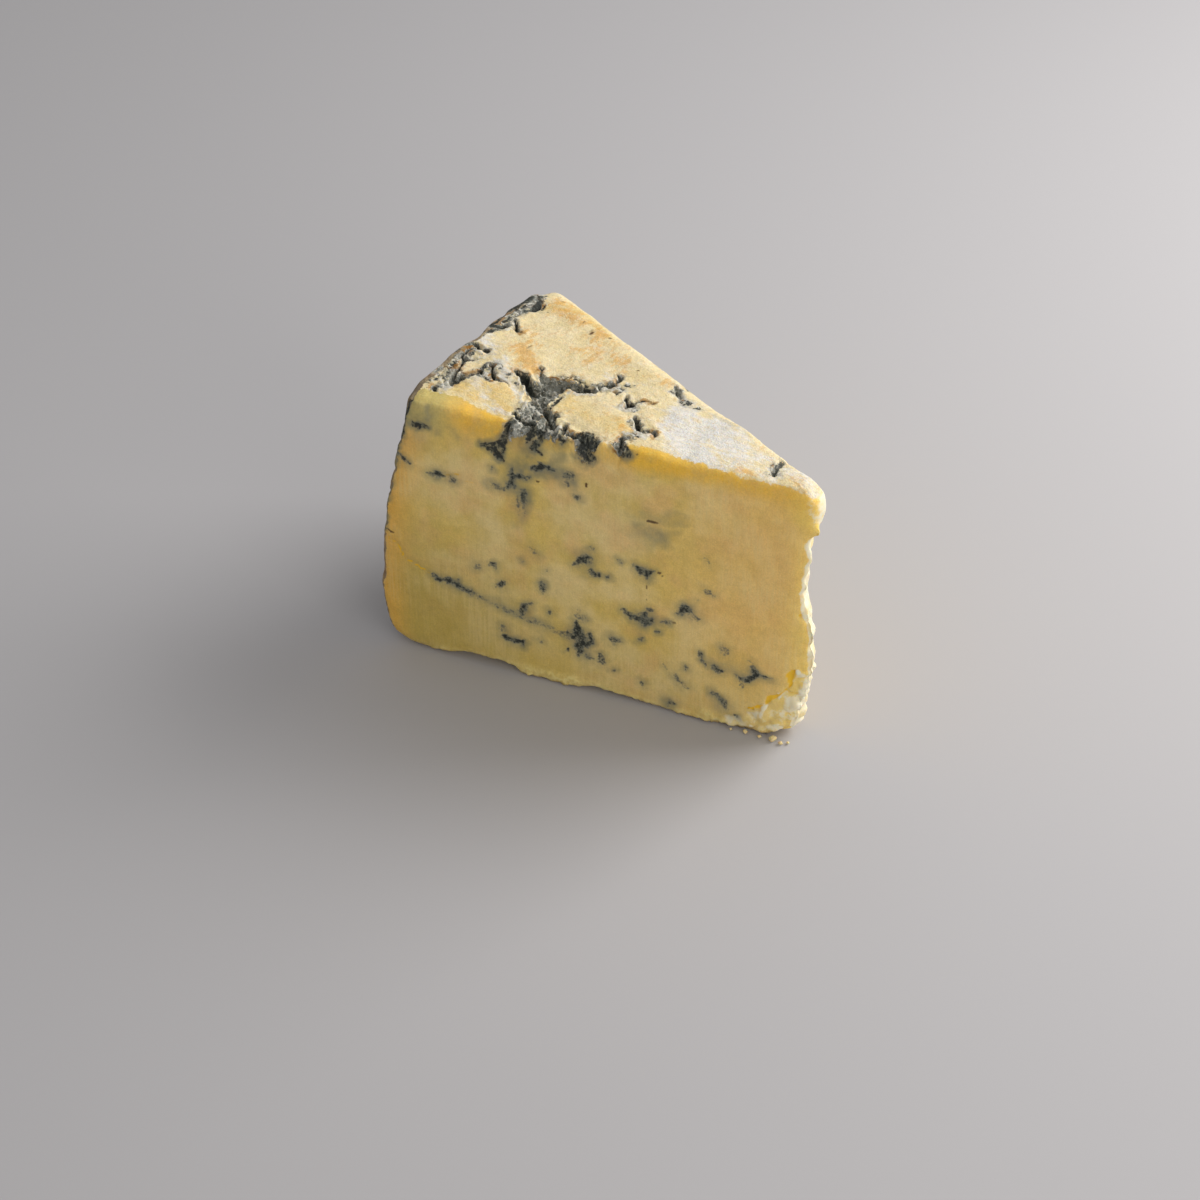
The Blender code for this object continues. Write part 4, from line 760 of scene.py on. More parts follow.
# Crevice mask: extra depth, and in the material painted shade with dark mould.
crevice_and_shade = near_routes(flat_top, CRUST_SHADED_CREVICES, edge=(0.3, 1.2)) * on_top
sinking = step(HEIGHT - 11 * MM, HEIGHT - 2 * MM, height) * step(0.6 * MM, 2.6 * MM, rind_distance)
top_cut = sinking * (near_routes(flat_top, CRUST_FISSURES, edge=(0.6, 1.05)) + 0.5 * crevice_and_shade)
sunk = torn - UP * top_cut[:, None] * MM
flat_front = onto(sunk, FRONT_OUT, on_front(0, 0))
flat_back = onto(sunk, BACK_OUT, on_back(0, 0))
front_cut = 0.5 * near_routes(flat_front, FRONT_FISSURES, 1.15, 0.1, edge=(0.4, 1.1)) * front_layer
# The fissure's mouth in the front face, which the material darkens as painted shade.
front_crevice_and_shade = near_routes(flat_front, FRONT_FISSURES, 1.2, 0.25, edge=(0.45, 1.2), solid=True) * front_layer
pale = near_routes(flat_top, PALE_CRUMBS, edge=(0.4, 1.3)) * on_top
vein = near_routes(flat_front, FRONT_VEINS) * in_front
vein = np.maximum(vein, near_routes(flat_back, BACK_VEINS) * in_back)
crack = near_routes(flat_front, CORNER_CRACK) * step(-0.2, 0.3,
    facing @ FRONT_OUT) * (1 - step(4 * MM, 6 * MM, front_depth))
fine_crack = near_routes(onto(ragged(skin, 0.4, 0.3, 30), FRONT_OUT, on_front(0, 0)), FINE_CRACKS) * in_front

crumbs = lumps(skin, 1.5, 11)
corner_zone = (in_front + in_tip * (front_depth < 6 * MM)).clip(0, 1)
in_corner = near_routes(flat_front, CORNER_CURD, edge=(0.6, 1.1)) * corner_zone
below_bulb = 1 - step(52 * MM, 56 * MM, height)
rims = near_routes(flat_top, CRUST_FISSURES, 1.2, 1.3, solid=True) * in_crust
low_lip = near_routes(flat_front, LOW_LIP) * (front_depth < 3 * MM) * step(-0.5, 0.0, facing @ FRONT_OUT)
lump_places = onto(ragged(skin, 0.3, 0.15, 70), FRONT_OUT, on_front(0, 0))
strip_lumps = near_routes(lump_places, STRIP_LUMPS, edge=(0.3, 1.2)) * (front_depth < 4 * MM)

off_rim = step(0.4 * MM, 2.4 * MM, rind_distance)
veil = near_routes(onto(ragged(skin, 1.4, 0.5, 50), UP, on_crust(0, 0)), GREY_VEILS) * on_top

push = np.zeros(len(skin))
push += top_fissure * ((curds(skin, 2.0, 1, top_fissure) - 0.45) * 1.1 + (curds(skin, 0.95, 2,
    top_fissure) - 0.4) * 0.45) * MM
push += rims * (1 - top_fissure) * (curds(skin, 2.6, 3, rims) - 0.5) * 0.4 * MM
push += veil * (1 - top_fissure) * (curds(skin, 1.7, 10, veil) - 0.5) * 0.5 * MM
push += in_crust * (curds(skin, 1.5, 9, in_crust) - 0.5) * 0.1 * MM
push += pale * 0.25 * MM
push += near_routes(flat_front, FRONT_DOME, edge=(0.3, 1.4)) * in_front * 0.5 * MM
push -= vein * (0.5 + 0.6 * crumbs) * 0.4 * MM
push -= crack * 0.6 * MM + fine_crack * 0.35 * MM
push += in_crust * (0.16 * lumps(skin, 5.0, 13) + 0.07 * crumbs) * MM
tip_curds = curds(skin * (1, 1, 1.15), 4.2, 4, in_tip * below_bulb)
push += in_tip * below_bulb * ((tip_curds - 0.45) * 1.0 + (curds(skin, 1.9, 5,
    in_tip * below_bulb) - 0.4) * 0.12) * MM
push += in_tip * (1 - below_bulb) * 0.2 * lumps(skin, 4.0, 14) * MM
push += in_corner * ((curds(skin, 4.0, 6, in_corner) - 0.5) * 1.1 + (curds(skin, 1.6, 7,
    in_corner) - 0.5) * 0.12) * MM
rind_pits = step(0.25, 0.5, lumps(skin, 2.4, 16)) * in_rind
below_rim = 1 - 0.85 * step(HEIGHT - 9 * MM, HEIGHT - 3 * MM, height)
push += below_rim * (in_rind * (0.35 * lumps(skin, 3.5, 17) + 0.16 * crumbs) - 0.45 * rind_pits) * MM
push += low_lip * (0.5 + (curds(skin, 2.2, 8, low_lip) - 0.5) * 0.6 + 0.2 * lumps(skin, 6.0, 18)) * MM

push += strip_lumps * 0.35 * MM
push *= np.where(height > HEIGHT - 5 * MM, np.maximum(off_rim, in_front), 1.0)
carved = filled + facing * push[:, None]
carved[:, 2] -= top_cut * MM
carved -= FRONT_OUT * (front_cut * MM)[:, None]
edge_reach = (1.4 + 1.0 * step(38 * MM, 50 * MM, height)) * step(10 * MM, 18 * MM,
    height) * (1 - step(56 * MM, 60 * MM, height))
edge_reach *= (1 - step(0.3 * MM, 3.4 * MM, front_depth)) * (1 - step(14 * MM, 19 * MM, along_front))
carved += FRONT_ALONG * (edge_reach * MM)[:, None]
rounding = np.clip((17 * MM - along_front) / (8 * MM), 0,
    1) ** 2 * in_front * (1 - step(56 * MM, 60 * MM, height))
carved -= FRONT_OUT * (rounding * 1.1 * MM)[:, None]
carved[:, 2] = np.maximum(carved[:, 2], 0.0)
carved[in_base > 0.95, 2] = 0.0
set_points(wedge.data, carved)
print("deepest cut into the crust, mm:", round(float(top_cut.max()), 2))

# %% [markdown]
# ## Marks for the material
#
# The material has to know where the mould, the warm patches and the bloom are. We store each mark as a
# number on every point, a float attribute that the shader can read. The numbers are soft; the shader
# sharpens them with fine noise, so the outlines are crisper than the mesh.

# %% Store the marks
def mark(name, values):
    """Stores one number a point on the mesh, for the shader."""
    layer = wedge.data.attributes.new(name, "FLOAT", "POINT")
    layer.data.foreach_set("value", np.clip(values, 0.0, 1.0).astype(np.float32))


soft_front = onto(ragged(skin, 2.4, 0.5, 40), FRONT_OUT, on_front(0, 0))
soft_top = onto(ragged(skin, 1.4, 0.5, 50), UP, on_crust(0, 0))
halo = near_routes(flat_front, FRONT_VEINS, 1.7, 0.8) * in_front * 0.8
halo = np.maximum(halo, near_routes(flat_back, BACK_VEINS, 1.7, 0.8) * in_back * 0.8)
halo = np.maximum(halo, near_routes(soft_front, FRONT_SMUDGES, edge=(0.0, 1.5)) * in_front)
halo = np.maximum(halo, near_routes(flat_front, FRONT_FISSURES, 1.2, 1.2, solid=True) * in_front * 0.9)

crust_cover = in_crust * step(-0.9 * MM, 0.8 * MM, front_depth - edge_depth + 0.5 * MM * lumps(skin, 2.2, 61))
mark("crust", crust_cover)
bulb_end = (1 - step(7 * MM, 12 * MM, along_front)) * step(56 * MM, 59 * MM, height) * (1 - in_crust)
# Painted highlight, over pale broken curd: the lamp-facing tip strip, its lumps and the bulb's end.
mark("strip_highlight", np.maximum(np.maximum(tip_strip_highlight, strip_lumps), 0.7 * bulb_end))
# Painted light: a bright glow on the cut face beside the tip, where light shines through the thin edge.
mark("painted_glow_by_tip", (1 - step(9.5 * MM, 17 * MM, along_front + 1.2 * MM * lumps(skin, 4.5, 62))) * (1 - in_crust))
# Darker towards the bottom: this mark lays painted shade on the low paste and weakens the painted light by the
# tip.
mark("low", 1 - step(2 * MM, 34 * MM, height))
mark("rind", in_rind)
mark("base", in_base * step(0.3, 0.7, -facing[:, 2]))
mark("mould", vein)
mark("halo", halo)
mark("fissure", top_fissure)
mark("fissure_rim", near_routes(flat_top, CRUST_FISSURES, 1.1, 0.9, solid=True) * on_top)
# Dark mould and painted shade in the crevices.
mark("crevice_and_shade", np.maximum(crevice_and_shade, 0.8 * front_crevice_and_shade))
mark("pale", pale)
mark("veil", veil)
mark("blue", near_routes(flat_front, BLUE_VEILS, edge=(0.0, 1.4)) * in_front)
mark("yellow", near_routes(soft_top, YELLOW_PATCHES) * in_crust)
mark("brown", near_routes(np.where(in_crust[:, None] > 0.5, flat_top, flat_front), BROWN_MARKS))
mark("pink", near_routes(soft_front, PINK_STRETCH) * in_front)
mark("warm", near_routes(soft_top, WARM_PATCHES) * in_crust)
mark("bloom", near_routes(soft_top, BLOOM_PATCHES) * in_crust)
mark("crack", np.maximum(crack, 0.8 * fine_crack))
mark("rindward", (1 - step(0.5 * MM, 9 * MM, rind_distance)) * (1 - 0.8 * step(57 * MM, 63 * MM, height)))
mark("shoulder", step(84 * MM, 91 * MM, along_front) * step(59 * MM, 64 * MM, height) * (1 - in_back))
band_depth = 3.6 + 1.6 * lumps(skin, 11.0, 60) + 0.8 * step(66 * MM, 80 * MM, radius)
BAND_AT, BAND_STRENGTHS = (0, 9, 18, 46, 56, 70, 75, 84, 91, 110), (0.3, 0.4, 0.85, 1.0, 0.6, 0.6, 1.0, 0.9,
    0.0, 0.0)
band_reach = np.interp(along_front / MM, BAND_AT, BAND_STRENGTHS)
mark("band", (1 - step(0.4, 1.6,
    below_crust / MM / band_depth)) * (1 - crust_cover) * band_reach * (1 - in_back))
mark("curd", in_corner * 0.75)
mark("lip", low_lip)
# Painted light: the paste grows brighter towards the tip.
mark("painted_light_tipward", 1 - step(12 * MM, 50 * MM, radius))
# Painted shade: the lower paste towards the rind is darkened.
mark("painted_shade_by_rind", step(55 * MM, 100 * MM, radius) * (1 - step(15 * MM, 45 * MM, height)))
print(len(wedge.data.attributes), "attributes on the skin")

# %% [markdown]
# ## A short way to write a material
#
# A node material is easier to read as a few sentences than as a web of boxes. This small class adds
# nodes to a material and hands back their outputs: a mark, a noise, a remapped value, a mix of two
# colours. Colours are given as the eye sees them, from 0 to 255, and turned into the shader's numbers.

# %% A recipe class
def colour(red, green, blue):
    """A colour as seen on a screen, 0 to 255, in the shader's linear numbers."""
    shares = [value / 255 for value in (red, green, blue)]
    return tuple(s / 12.92 if s < 0.04045 else ((s + 0.055) / 1.055) ** 2.4 for s in shares) + (1.0,)


class Recipe:
    """Writes one Principled material from marks, noises and mixes."""

    def __init__(self, name, roughness, **constants):
        self.material = bpy.data.materials.new(name)
        self.material.use_nodes = True
        self.tree = self.material.node_tree
        self.shader = self.tree.nodes["Principled BSDF"]
        self.shader.inputs["Roughness"].default_value = roughness
        for socket, value in constants.items():
            self.shader.inputs[socket.replace("_", " ")].default_value = value
        self.place = self.add("ShaderNodeTexCoord").outputs["Object"]

    def add(self, kind, **settings):
        node = self.tree.nodes.new(kind)
        for key, value in settings.items():
            setattr(node, key, value)
        return node

    def feed(self, socket, value):
        """Links an output to a socket, or sets a plain value on it."""
        if isinstance(value, bpy.types.NodeSocket):
            self.tree.links.new(value, socket)
        else:
            socket.default_value = value

    def mark(self, name):
        """A number stored on the mesh's points."""
        return self.add("ShaderNodeAttribute", attribute_name=name).outputs["Fac"]

    def noise(self, size, detail=3.0, stretch=None, rough=0.55, turn=0.0):
        """Cloudy noise with features of so many mm, stretched along the axes if asked."""
        node = self.add("ShaderNodeTexNoise")
        node.inputs["Scale"].default_value = 1.0 / (size * MM)
        node.inputs["Detail"].default_value = detail
        node.inputs["Roughness"].default_value = rough
        where = self.place
        if stretch:
            mapping = self.add("ShaderNodeMapping", vector_type="TEXTURE")
            mapping.inputs["Scale"].default_value = stretch
            mapping.inputs["Rotation"].default_value = (0.0, 0.0, turn)
            self.feed(mapping.inputs["Vector"], where)
            where = mapping.outputs["Vector"]
        self.feed(node.inputs["Vector"], where)
        return node.outputs["Fac"]

    def span(self, value, low, high, to_low=0.0, to_high=1.0):
        """Stretches low..high to to_low..to_high with soft ends."""
        node = self.add("ShaderNodeMapRange", interpolation_type="SMOOTHSTEP")
        for name, number in zip(("From Min", "From Max", "To Min", "To Max"), (low, high, to_low, to_high)):
            node.inputs[name].default_value = number
        self.feed(node.inputs["Value"], value)
        return node.outputs["Result"]

    def maths(self, operation, first, second, clamp=False):
        node = self.add("ShaderNodeMath", operation=operation, use_clamp=clamp)
        self.feed(node.inputs[0], first)
        self.feed(node.inputs[1], second)
        return node.outputs[0]

    def times(self, first, second):
        return self.maths("MULTIPLY", first, second, clamp=True)

    def blend(self, share, first, second):
        """A mix of two colours."""
        node = self.add("ShaderNodeMix", data_type="RGBA")
        self.feed(node.inputs["Factor"], share)
        self.feed(node.inputs["A"], first)
        self.feed(node.inputs["B"], second)
        return node.outputs["Result"]

    def tint(self, share, under, strength):
        """Lightens or darkens a colour by up to strength where share is high or low."""
        node = self.add("ShaderNodeHueSaturation")
        self.feed(node.inputs["Color"], under)
        self.feed(node.inputs["Value"], self.span(share, 0.3, 0.7, 1.0 - strength, 1.0 + strength))
        return node.outputs["Color"]

    def bump(self, height, depth, under=None):
        """Fine relief of so many mm, on top of any other relief."""
        node = self.add("ShaderNodeBump")
        node.inputs["Strength"].default_value = 1.0
        node.inputs["Distance"].default_value = depth * MM
        self.feed(node.inputs["Height"], height)
        if under is not None:
            self.feed(node.inputs["Normal"], under)
        return node.outputs["Normal"]


print("recipe class ready")

# %% [markdown]
# ## The cheese
#
# One material covers the whole slice, because on the real one the zones run into each other. It is
# built from the inside out: the waxy yellow paste first, then the warmer layer by the rind and under
# the crust, the dry crust, the rind, and last the mould with its grey-green halo.

# %% The cheese's colours
PASTE = colour(231, 200, 108)
PASTE_PALE = colour(240, 215, 148)
PASTE_PINK = colour(236, 192, 126)
PASTE_WARM = colour(240, 184, 76)
PASTE_BAND = colour(250, 196, 62)
PASTE_GREEN = colour(205, 184, 100)
# The paste in painted shade, darker and more olive.
PASTE_PAINTED_SHADE = colour(196, 170, 82)
# The paste in painted light, brighter and warmer.
PASTE_PAINTED_LIGHT = colour(248, 202, 118)
# A glowing paste colour for the painted light beside the tip.
PASTE_PAINTED_GLOW = colour(255, 218, 110)
CURD_YELLOW = colour(246, 220, 128)
# Pale broken curd, and the painted highlight on the tip's strip.
PALE_CURD_AND_HIGHLIGHT = colour(252, 243, 214)
PASTE_LIP = colour(246, 226, 150)
PASTE_DOME = colour(210, 192, 118)
CRUST = colour(234, 214, 164)
CRUST_PALE = colour(242, 226, 186)
CRUST_WARM = colour(226, 174, 88)
CRUST_YELLOW = colour(230, 200, 126)
VEIL = colour(104, 106, 92)
VEIL_PALE = colour(168, 168, 152)
BLUE_VEIL = colour(124, 127, 114)
BLOOM = colour(232, 230, 226)
RIND_BROWN = colour(128, 110, 86)
RIND_PALE = colour(164, 146, 114)
RIND_DARK = colour(78, 70, 60)
RIND_RUSTY = colour(176, 128, 74)
UNDERSIDE = colour(206, 178, 120)
UNDERSIDE_DARK = colour(176, 148, 98)
HALO = colour(134, 130, 98)
HALO_BLUE = colour(126, 128, 110)
MOULD_BLUE = colour(104, 108, 98)
# Dark mould; in the crevices it is painted shade as well.
MOULD_DARK_AND_SHADE = colour(40, 44, 38)
FISSURE_GREY = colour(158, 158, 148)
FISSURE_DEEP = colour(92, 94, 86)
CRUMB = colour(220, 216, 202)
BROWN = colour(104, 74, 36)
OCHRE = colour(176, 124, 44)
CRACK_YELLOW = colour(252, 200, 24)
print("paste in the shader's numbers:", [round(value, 3) for value in PASTE])

# %% The cheese's material
cheese = Recipe("ripe blue cheese", 0.5, Subsurface_Weight=0.22, Subsurface_Scale=1.2 * MM)
cheese.shader.inputs["Subsurface Radius"].default_value = (1.0, 0.75, 0.45)
cheese.shader.inputs["Specular IOR Level"].default_value = 0.4

broad = cheese.noise(14.0, 3.0)
middling = cheese.noise(3.5, 4.0)
clouds = cheese.noise(1.3, 3.0)
fine = cheese.noise(0.9, 3.0)
grain = cheese.noise(0.55, 2.0)
speck = cheese.noise(0.35, 2.0)

# The paste and its warmer layers, with painted shade low down and painted light by the tip.
paste = cheese.blend(cheese.span(broad, 0.35, 0.65), PASTE, PASTE_PALE)
paste = cheese.blend(cheese.times(cheese.span(cheese.noise(9.0, 2.0), 0.45, 0.7), 0.55), paste, PASTE_PINK)
paste = cheese.blend(cheese.times(cheese.span(cheese.noise(6.0, 4.0), 0.5, 0.75), 0.3), paste, PASTE_GREEN)
paste = cheese.blend(cheese.times(cheese.mark("pink"), 0.75), paste, PASTE_PINK)
# Painted shade: darker paste towards the rind's foot and near the floor.
paste = cheese.blend(cheese.times(cheese.mark("painted_shade_by_rind"), 0.8), paste, PASTE_PAINTED_SHADE)
paste = cheese.blend(cheese.times(cheese.mark("low"), cheese.span(middling, 0.35, 0.65, 0.1, 0.5)), paste,
    PASTE_PAINTED_SHADE)
# Painted light towards the tip, weaker near the floor.
paste = cheese.blend(cheese.times(cheese.mark("painted_light_tipward"),
    cheese.maths("SUBTRACT", 0.75, cheese.maths("MULTIPLY", cheese.mark("low"), 0.5))), paste, PASTE_PAINTED_LIGHT)
# Painted glow on the cut face beside the tip.
paste = cheese.blend(cheese.times(cheese.mark("painted_glow_by_tip"), 0.8), paste, PASTE_PAINTED_GLOW)
paste = cheese.blend(cheese.times(cheese.mark("rindward"), 0.85), paste, PASTE_WARM)
paste = cheese.blend(cheese.times(cheese.mark("shoulder"), 0.85), paste, PASTE_DOME)
band = cheese.times(cheese.mark("band"), cheese.span(middling, 0.3, 0.6, 0.5, 0.95))
paste = cheese.blend(band, paste, PASTE_BAND)
paste = cheese.tint(middling, paste, 0.05)
paste = cheese.tint(clouds, paste, 0.03)
paste = cheese.tint(speck, paste, 0.06)
drag = cheese.noise(0.5, 2.0, stretch=(1.0, 1.0, 18.0), turn=HALF_ANGLE)
paste = cheese.blend(cheese.times(cheese.span(drag, 0.35, 0.65), cheese.span(broad, 0.4, 0.6, 0.05, 0.3)),
    paste, PASTE_PALE)

# Broken curd at the tip and the corner, and along the foot, is paler than the cut face. The
# tip's strip that faces the lamp is painted near white as well, a painted highlight.
pale_curd = cheese.maths("ADD", cheese.mark("curd"), cheese.span(middling, 0.3, 0.7, -0.3, 0.3))
curd_tone = cheese.blend(cheese.span(middling, 0.42, 0.6), CURD_YELLOW, PALE_CURD_AND_HIGHLIGHT)
paste = cheese.blend(cheese.times(cheese.span(pale_curd, 0.3, 0.9), 0.85), paste, curd_tone)
# Painted highlight on the lamp-facing strip of the tip.
strip_highlight = cheese.span(cheese.maths("ADD", cheese.mark("strip_highlight"), cheese.span(middling, 0.3, 0.7, -0.45, 0.45)),
    0.2, 0.8)
strip_highlight = cheese.times(strip_highlight, cheese.span(cheese.mark("strip_highlight"), 0.02, 0.3))
paste = cheese.blend(cheese.times(strip_highlight, cheese.span(middling, 0.35, 0.65, 0.7, 1.0)), paste, PALE_CURD_AND_HIGHLIGHT)
pale_lip = cheese.times(cheese.mark("lip"), cheese.span(clouds, 0.4, 0.6, 0.3, 0.9))
paste = cheese.blend(pale_lip, paste, PASTE_LIP)

# The dry crust, with its warm patches and white bloom.
crust = cheese.blend(cheese.span(middling, 0.35, 0.7), CRUST, CRUST_PALE)
yellow = cheese.maths("ADD", cheese.mark("yellow"), cheese.span(middling, 0.3, 0.7, -0.2, 0.3))
crust = cheese.blend(cheese.times(cheese.span(yellow, 0.1, 0.9), 0.85), crust, CRUST_YELLOW)
streaks = cheese.noise(1.1, 4.0, stretch=(1.0, 2.6, 1.0), rough=0.65)
warm = cheese.maths("ADD", cheese.mark("warm"), cheese.span(middling, 0.35, 0.65, -0.3, 0.3))
warm = cheese.span(cheese.maths("ADD", warm, cheese.span(streaks, 0.35, 0.65, -0.3, 0.3)), 0.15, 1.0)
crust = cheese.blend(cheese.times(warm, 0.75), crust, CRUST_WARM)
powder = cheese.noise(1.4, 5.0, stretch=(2.2, 1.0, 1.0), rough=0.7)
bloom = cheese.span(cheese.maths("ADD", cheese.mark("bloom"), cheese.span(powder, 0.3, 0.7, -0.45, 0.35)),
    0.0, 1.1)
crust = cheese.blend(cheese.times(bloom, 0.9), crust, BLOOM)
crust = cheese.tint(fine, crust, 0.08)
crust = cheese.tint(speck, crust, 0.09)
freckle = cheese.times(cheese.span(grain, 0.6, 0.7), cheese.span(middling, 0.4, 0.6))
crust = cheese.blend(cheese.times(freckle, 0.45), crust, CRUST_WARM)
crust_edge = cheese.maths("ADD", cheese.mark("crust"), cheese.span(fine, 0.3, 0.7, -0.25, 0.25))
body = cheese.blend(cheese.span(crust_edge, 0.3, 0.7), paste, crust)
veil = cheese.times(cheese.mark("veil"), cheese.span(powder, 0.3, 0.65, 0.35, 1.0))
body = cheese.blend(veil, body, cheese.blend(cheese.span(powder, 0.42, 0.6), VEIL_PALE, VEIL))
veiled = cheese.span(cheese.mark("veil"), 0.05, 0.35)
mottle = cheese.times(cheese.maths("ADD", cheese.mark("veil"), cheese.span(clouds, 0.38, 0.62, -0.4, 0.55)),
    veiled)
body = cheese.blend(cheese.times(cheese.span(mottle, 0.55, 0.85), 0.85), body, FISSURE_DEEP)
body = cheese.blend(cheese.times(cheese.span(mottle, 0.8, 1.0), 0.9), body, MOULD_DARK_AND_SHADE)
white_bits = cheese.times(cheese.times(veiled, 0.9), cheese.span(fine, 0.56, 0.64))
body = cheese.blend(white_bits, body, CRUMB)

# The rind and the dry underside.
rind = cheese.blend(cheese.span(middling, 0.35, 0.65), RIND_BROWN, RIND_PALE)
rind = cheese.blend(cheese.times(cheese.span(cheese.noise(6.0, 4.0), 0.45, 0.7), 0.55), rind, RIND_DARK)
rind = cheese.blend(cheese.times(cheese.span(broad, 0.5, 0.7), 0.5), rind, RIND_RUSTY)
rind_edge = cheese.maths("ADD", cheese.mark("rind"), cheese.span(fine, 0.3, 0.7, -0.3, 0.3))
body = cheese.blend(cheese.span(rind_edge, 0.35, 0.65), body, rind)
underside = cheese.blend(cheese.span(middling, 0.35, 0.65), UNDERSIDE, UNDERSIDE_DARK)
body = cheese.blend(cheese.mark("base"), body, underside)

# Brown cracks, the yellow crack in the corner.
body = cheese.blend(cheese.span(cheese.mark("brown"), 0.15, 0.6), body, BROWN)
body = cheese.blend(cheese.times(cheese.span(cheese.mark("crack"), 0.2, 0.7), 0.9), body, CRACK_YELLOW)

# The mould: a soft halo, a blue-grey field, a dark heart, broken up by noise inside the marks only.
grit = cheese.maths("ADD", cheese.span(clouds, 0.3, 0.7, -0.28, 0.28),
    cheese.span(grain, 0.3, 0.7, -0.24, 0.24))


def broken_up(name, most=0.3):
    """A mark with a gritty outline, and nothing outside it."""
    mark = cheese.mark(name)
    inside = cheese.span(mark, 0.02, most)
    return cheese.maths("ADD", mark, cheese.maths("MULTIPLY", grit, inside))


halo = cheese.times(cheese.mark("halo"), cheese.span(middling, 0.35, 0.65, 0.4, 1.0))
body = cheese.blend(halo, body, cheese.blend(cheese.span(cheese.mark("mould"), 0.0, 0.3), HALO, HALO_BLUE))
body = cheese.blend(cheese.times(cheese.mark("blue"), cheese.span(clouds, 0.35, 0.65, 0.55, 0.95)), body,
    BLUE_VEIL)
mould = broken_up("mould")
body = cheese.blend(cheese.times(cheese.span(mould, 0.05, 0.75), 0.8), body, MOULD_BLUE)
body = cheese.blend(cheese.times(cheese.span(mould, 0.55, 1.15), 0.95), body, MOULD_DARK_AND_SHADE)

# The fissures: grey mould on their walls and floors, crevices darkened with dark mould and painted shade, pale
# crumbs on the rims.
rim = cheese.span(broken_up("fissure_rim"), 0.3, 0.9)
stained = cheese.span(cheese.noise(4.5, 2.0), 0.5, 0.6)
body = cheese.blend(cheese.times(rim, cheese.span(stained, 0.0, 1.0, 0.3, 0.7)), body,
    cheese.blend(stained, CRUMB, OCHRE))
walls = cheese.blend(cheese.span(clouds, 0.38, 0.6), FISSURE_DEEP, FISSURE_GREY)
walls = cheese.blend(cheese.times(cheese.span(grain, 0.52, 0.66), 0.75), walls, CRUMB)
body = cheese.blend(cheese.span(broken_up("fissure"), 0.3, 0.65), body, walls)
# Crevices: a mould tone, then near black, which is partly dark mould and partly painted shade.
crevice_shade_tone = broken_up("crevice_and_shade")
body = cheese.blend(cheese.times(cheese.span(crevice_shade_tone, 0.1, 0.5), 0.55), body,
    cheese.blend(cheese.span(clouds, 0.5, 0.6), MOULD_BLUE, BROWN))
body = cheese.blend(cheese.times(cheese.span(crevice_shade_tone, 0.35, 0.9), 0.95), body, MOULD_DARK_AND_SHADE)
body = cheese.blend(cheese.times(cheese.span(broken_up("pale"), 0.25, 0.8), 0.85), body, CRUMB)
cheese.feed(cheese.shader.inputs["Base Color"], body)

# Gloss: waxy paste, dry crust, powdery mould and rind.
dry = cheese.maths("MAXIMUM", cheese.mark("crust"), cheese.mark("rind"))
gloss = cheese.maths("ADD", cheese.span(dry, 0.2, 0.8, 0.44, 0.72), cheese.span(fine, 0.3, 0.7, -0.06, 0.06))
gloss = cheese.maths("ADD", gloss, cheese.span(mould, 0.2, 0.7, 0.0, 0.25), clamp=True)
cheese.feed(cheese.shader.inputs["Roughness"], gloss)

# Relief: the knife's fine upright drag marks, and a fine grain all over.
relief = cheese.bump(cheese.times(drag, cheese.maths("SUBTRACT", 1.0, dry)), 0.05)
relief = cheese.bump(middling, 0.22, relief)
relief = cheese.bump(fine, 0.09, relief)
torn_parts = cheese.maths("MAXIMUM", cheese.mark("fissure"), cheese.mark("veil"))
relief = cheese.bump(cheese.times(grain, cheese.span(torn_parts, 0.2, 0.7)), 0.35, relief)
relief = cheese.bump(speck, 0.05, relief)
relief = cheese.bump(cheese.times(speck, dry), 0.08, relief)
cheese.feed(cheese.shader.inputs["Normal"], relief)

wedge.data.materials.clear()
wedge.data.materials.append(cheese.material)
wedge.data.shade_smooth()
print(len(cheese.tree.nodes), "nodes in the cheese's material")

# %% [markdown]
# ## Crumbs at the foot of the tip
#
# Where the tip broke, a few crumbs fell. They are small lumps of the same paste, joined into one mesh,
# and they lie on the floor beside the tip's foot.

# %% Loose crumbs
CRUMB_PLACES = ((14.5, -0.4, 0.8), (12.6, -0.9, 0.45), (17.5, -0.5, 0.4), (20.8, -0.3, 0.5),
    (11.2, -0.2, 0.35), (24.0, -0.5, 0.3))


def loose_crumbs():
    """Small broken lumps, in (distance from the axis, distance from the front face, half width) mm."""
    bm = bmesh.new()
    for along, away, half in CRUMB_PLACES:
        made = bmesh.ops.create_icosphere(bm, subdivisions=3, radius=half * MM)["verts"]
        middle = on_front(along, half * 0.7) - FRONT_OUT * away * MM
        for vertex in made:
            bumps = noise.noise(vertex.co / (0.9 * half * MM) + Vector((along, half, 0.0)))
            vertex.co *= 1.0 + 0.45 * bumps
            vertex.co.z *= 0.75
            vertex.co += Vector(middle)
            vertex.co.z = max(vertex.co.z, 0.0)
    mesh = bpy.data.meshes.new("crumbs")
    bm.to_mesh(mesh)
    bm.free()
    mesh.shade_smooth()
    piece = bpy.data.objects.new("loose_crumbs", mesh)
    bpy.context.scene.collection.objects.link(piece)
    return piece


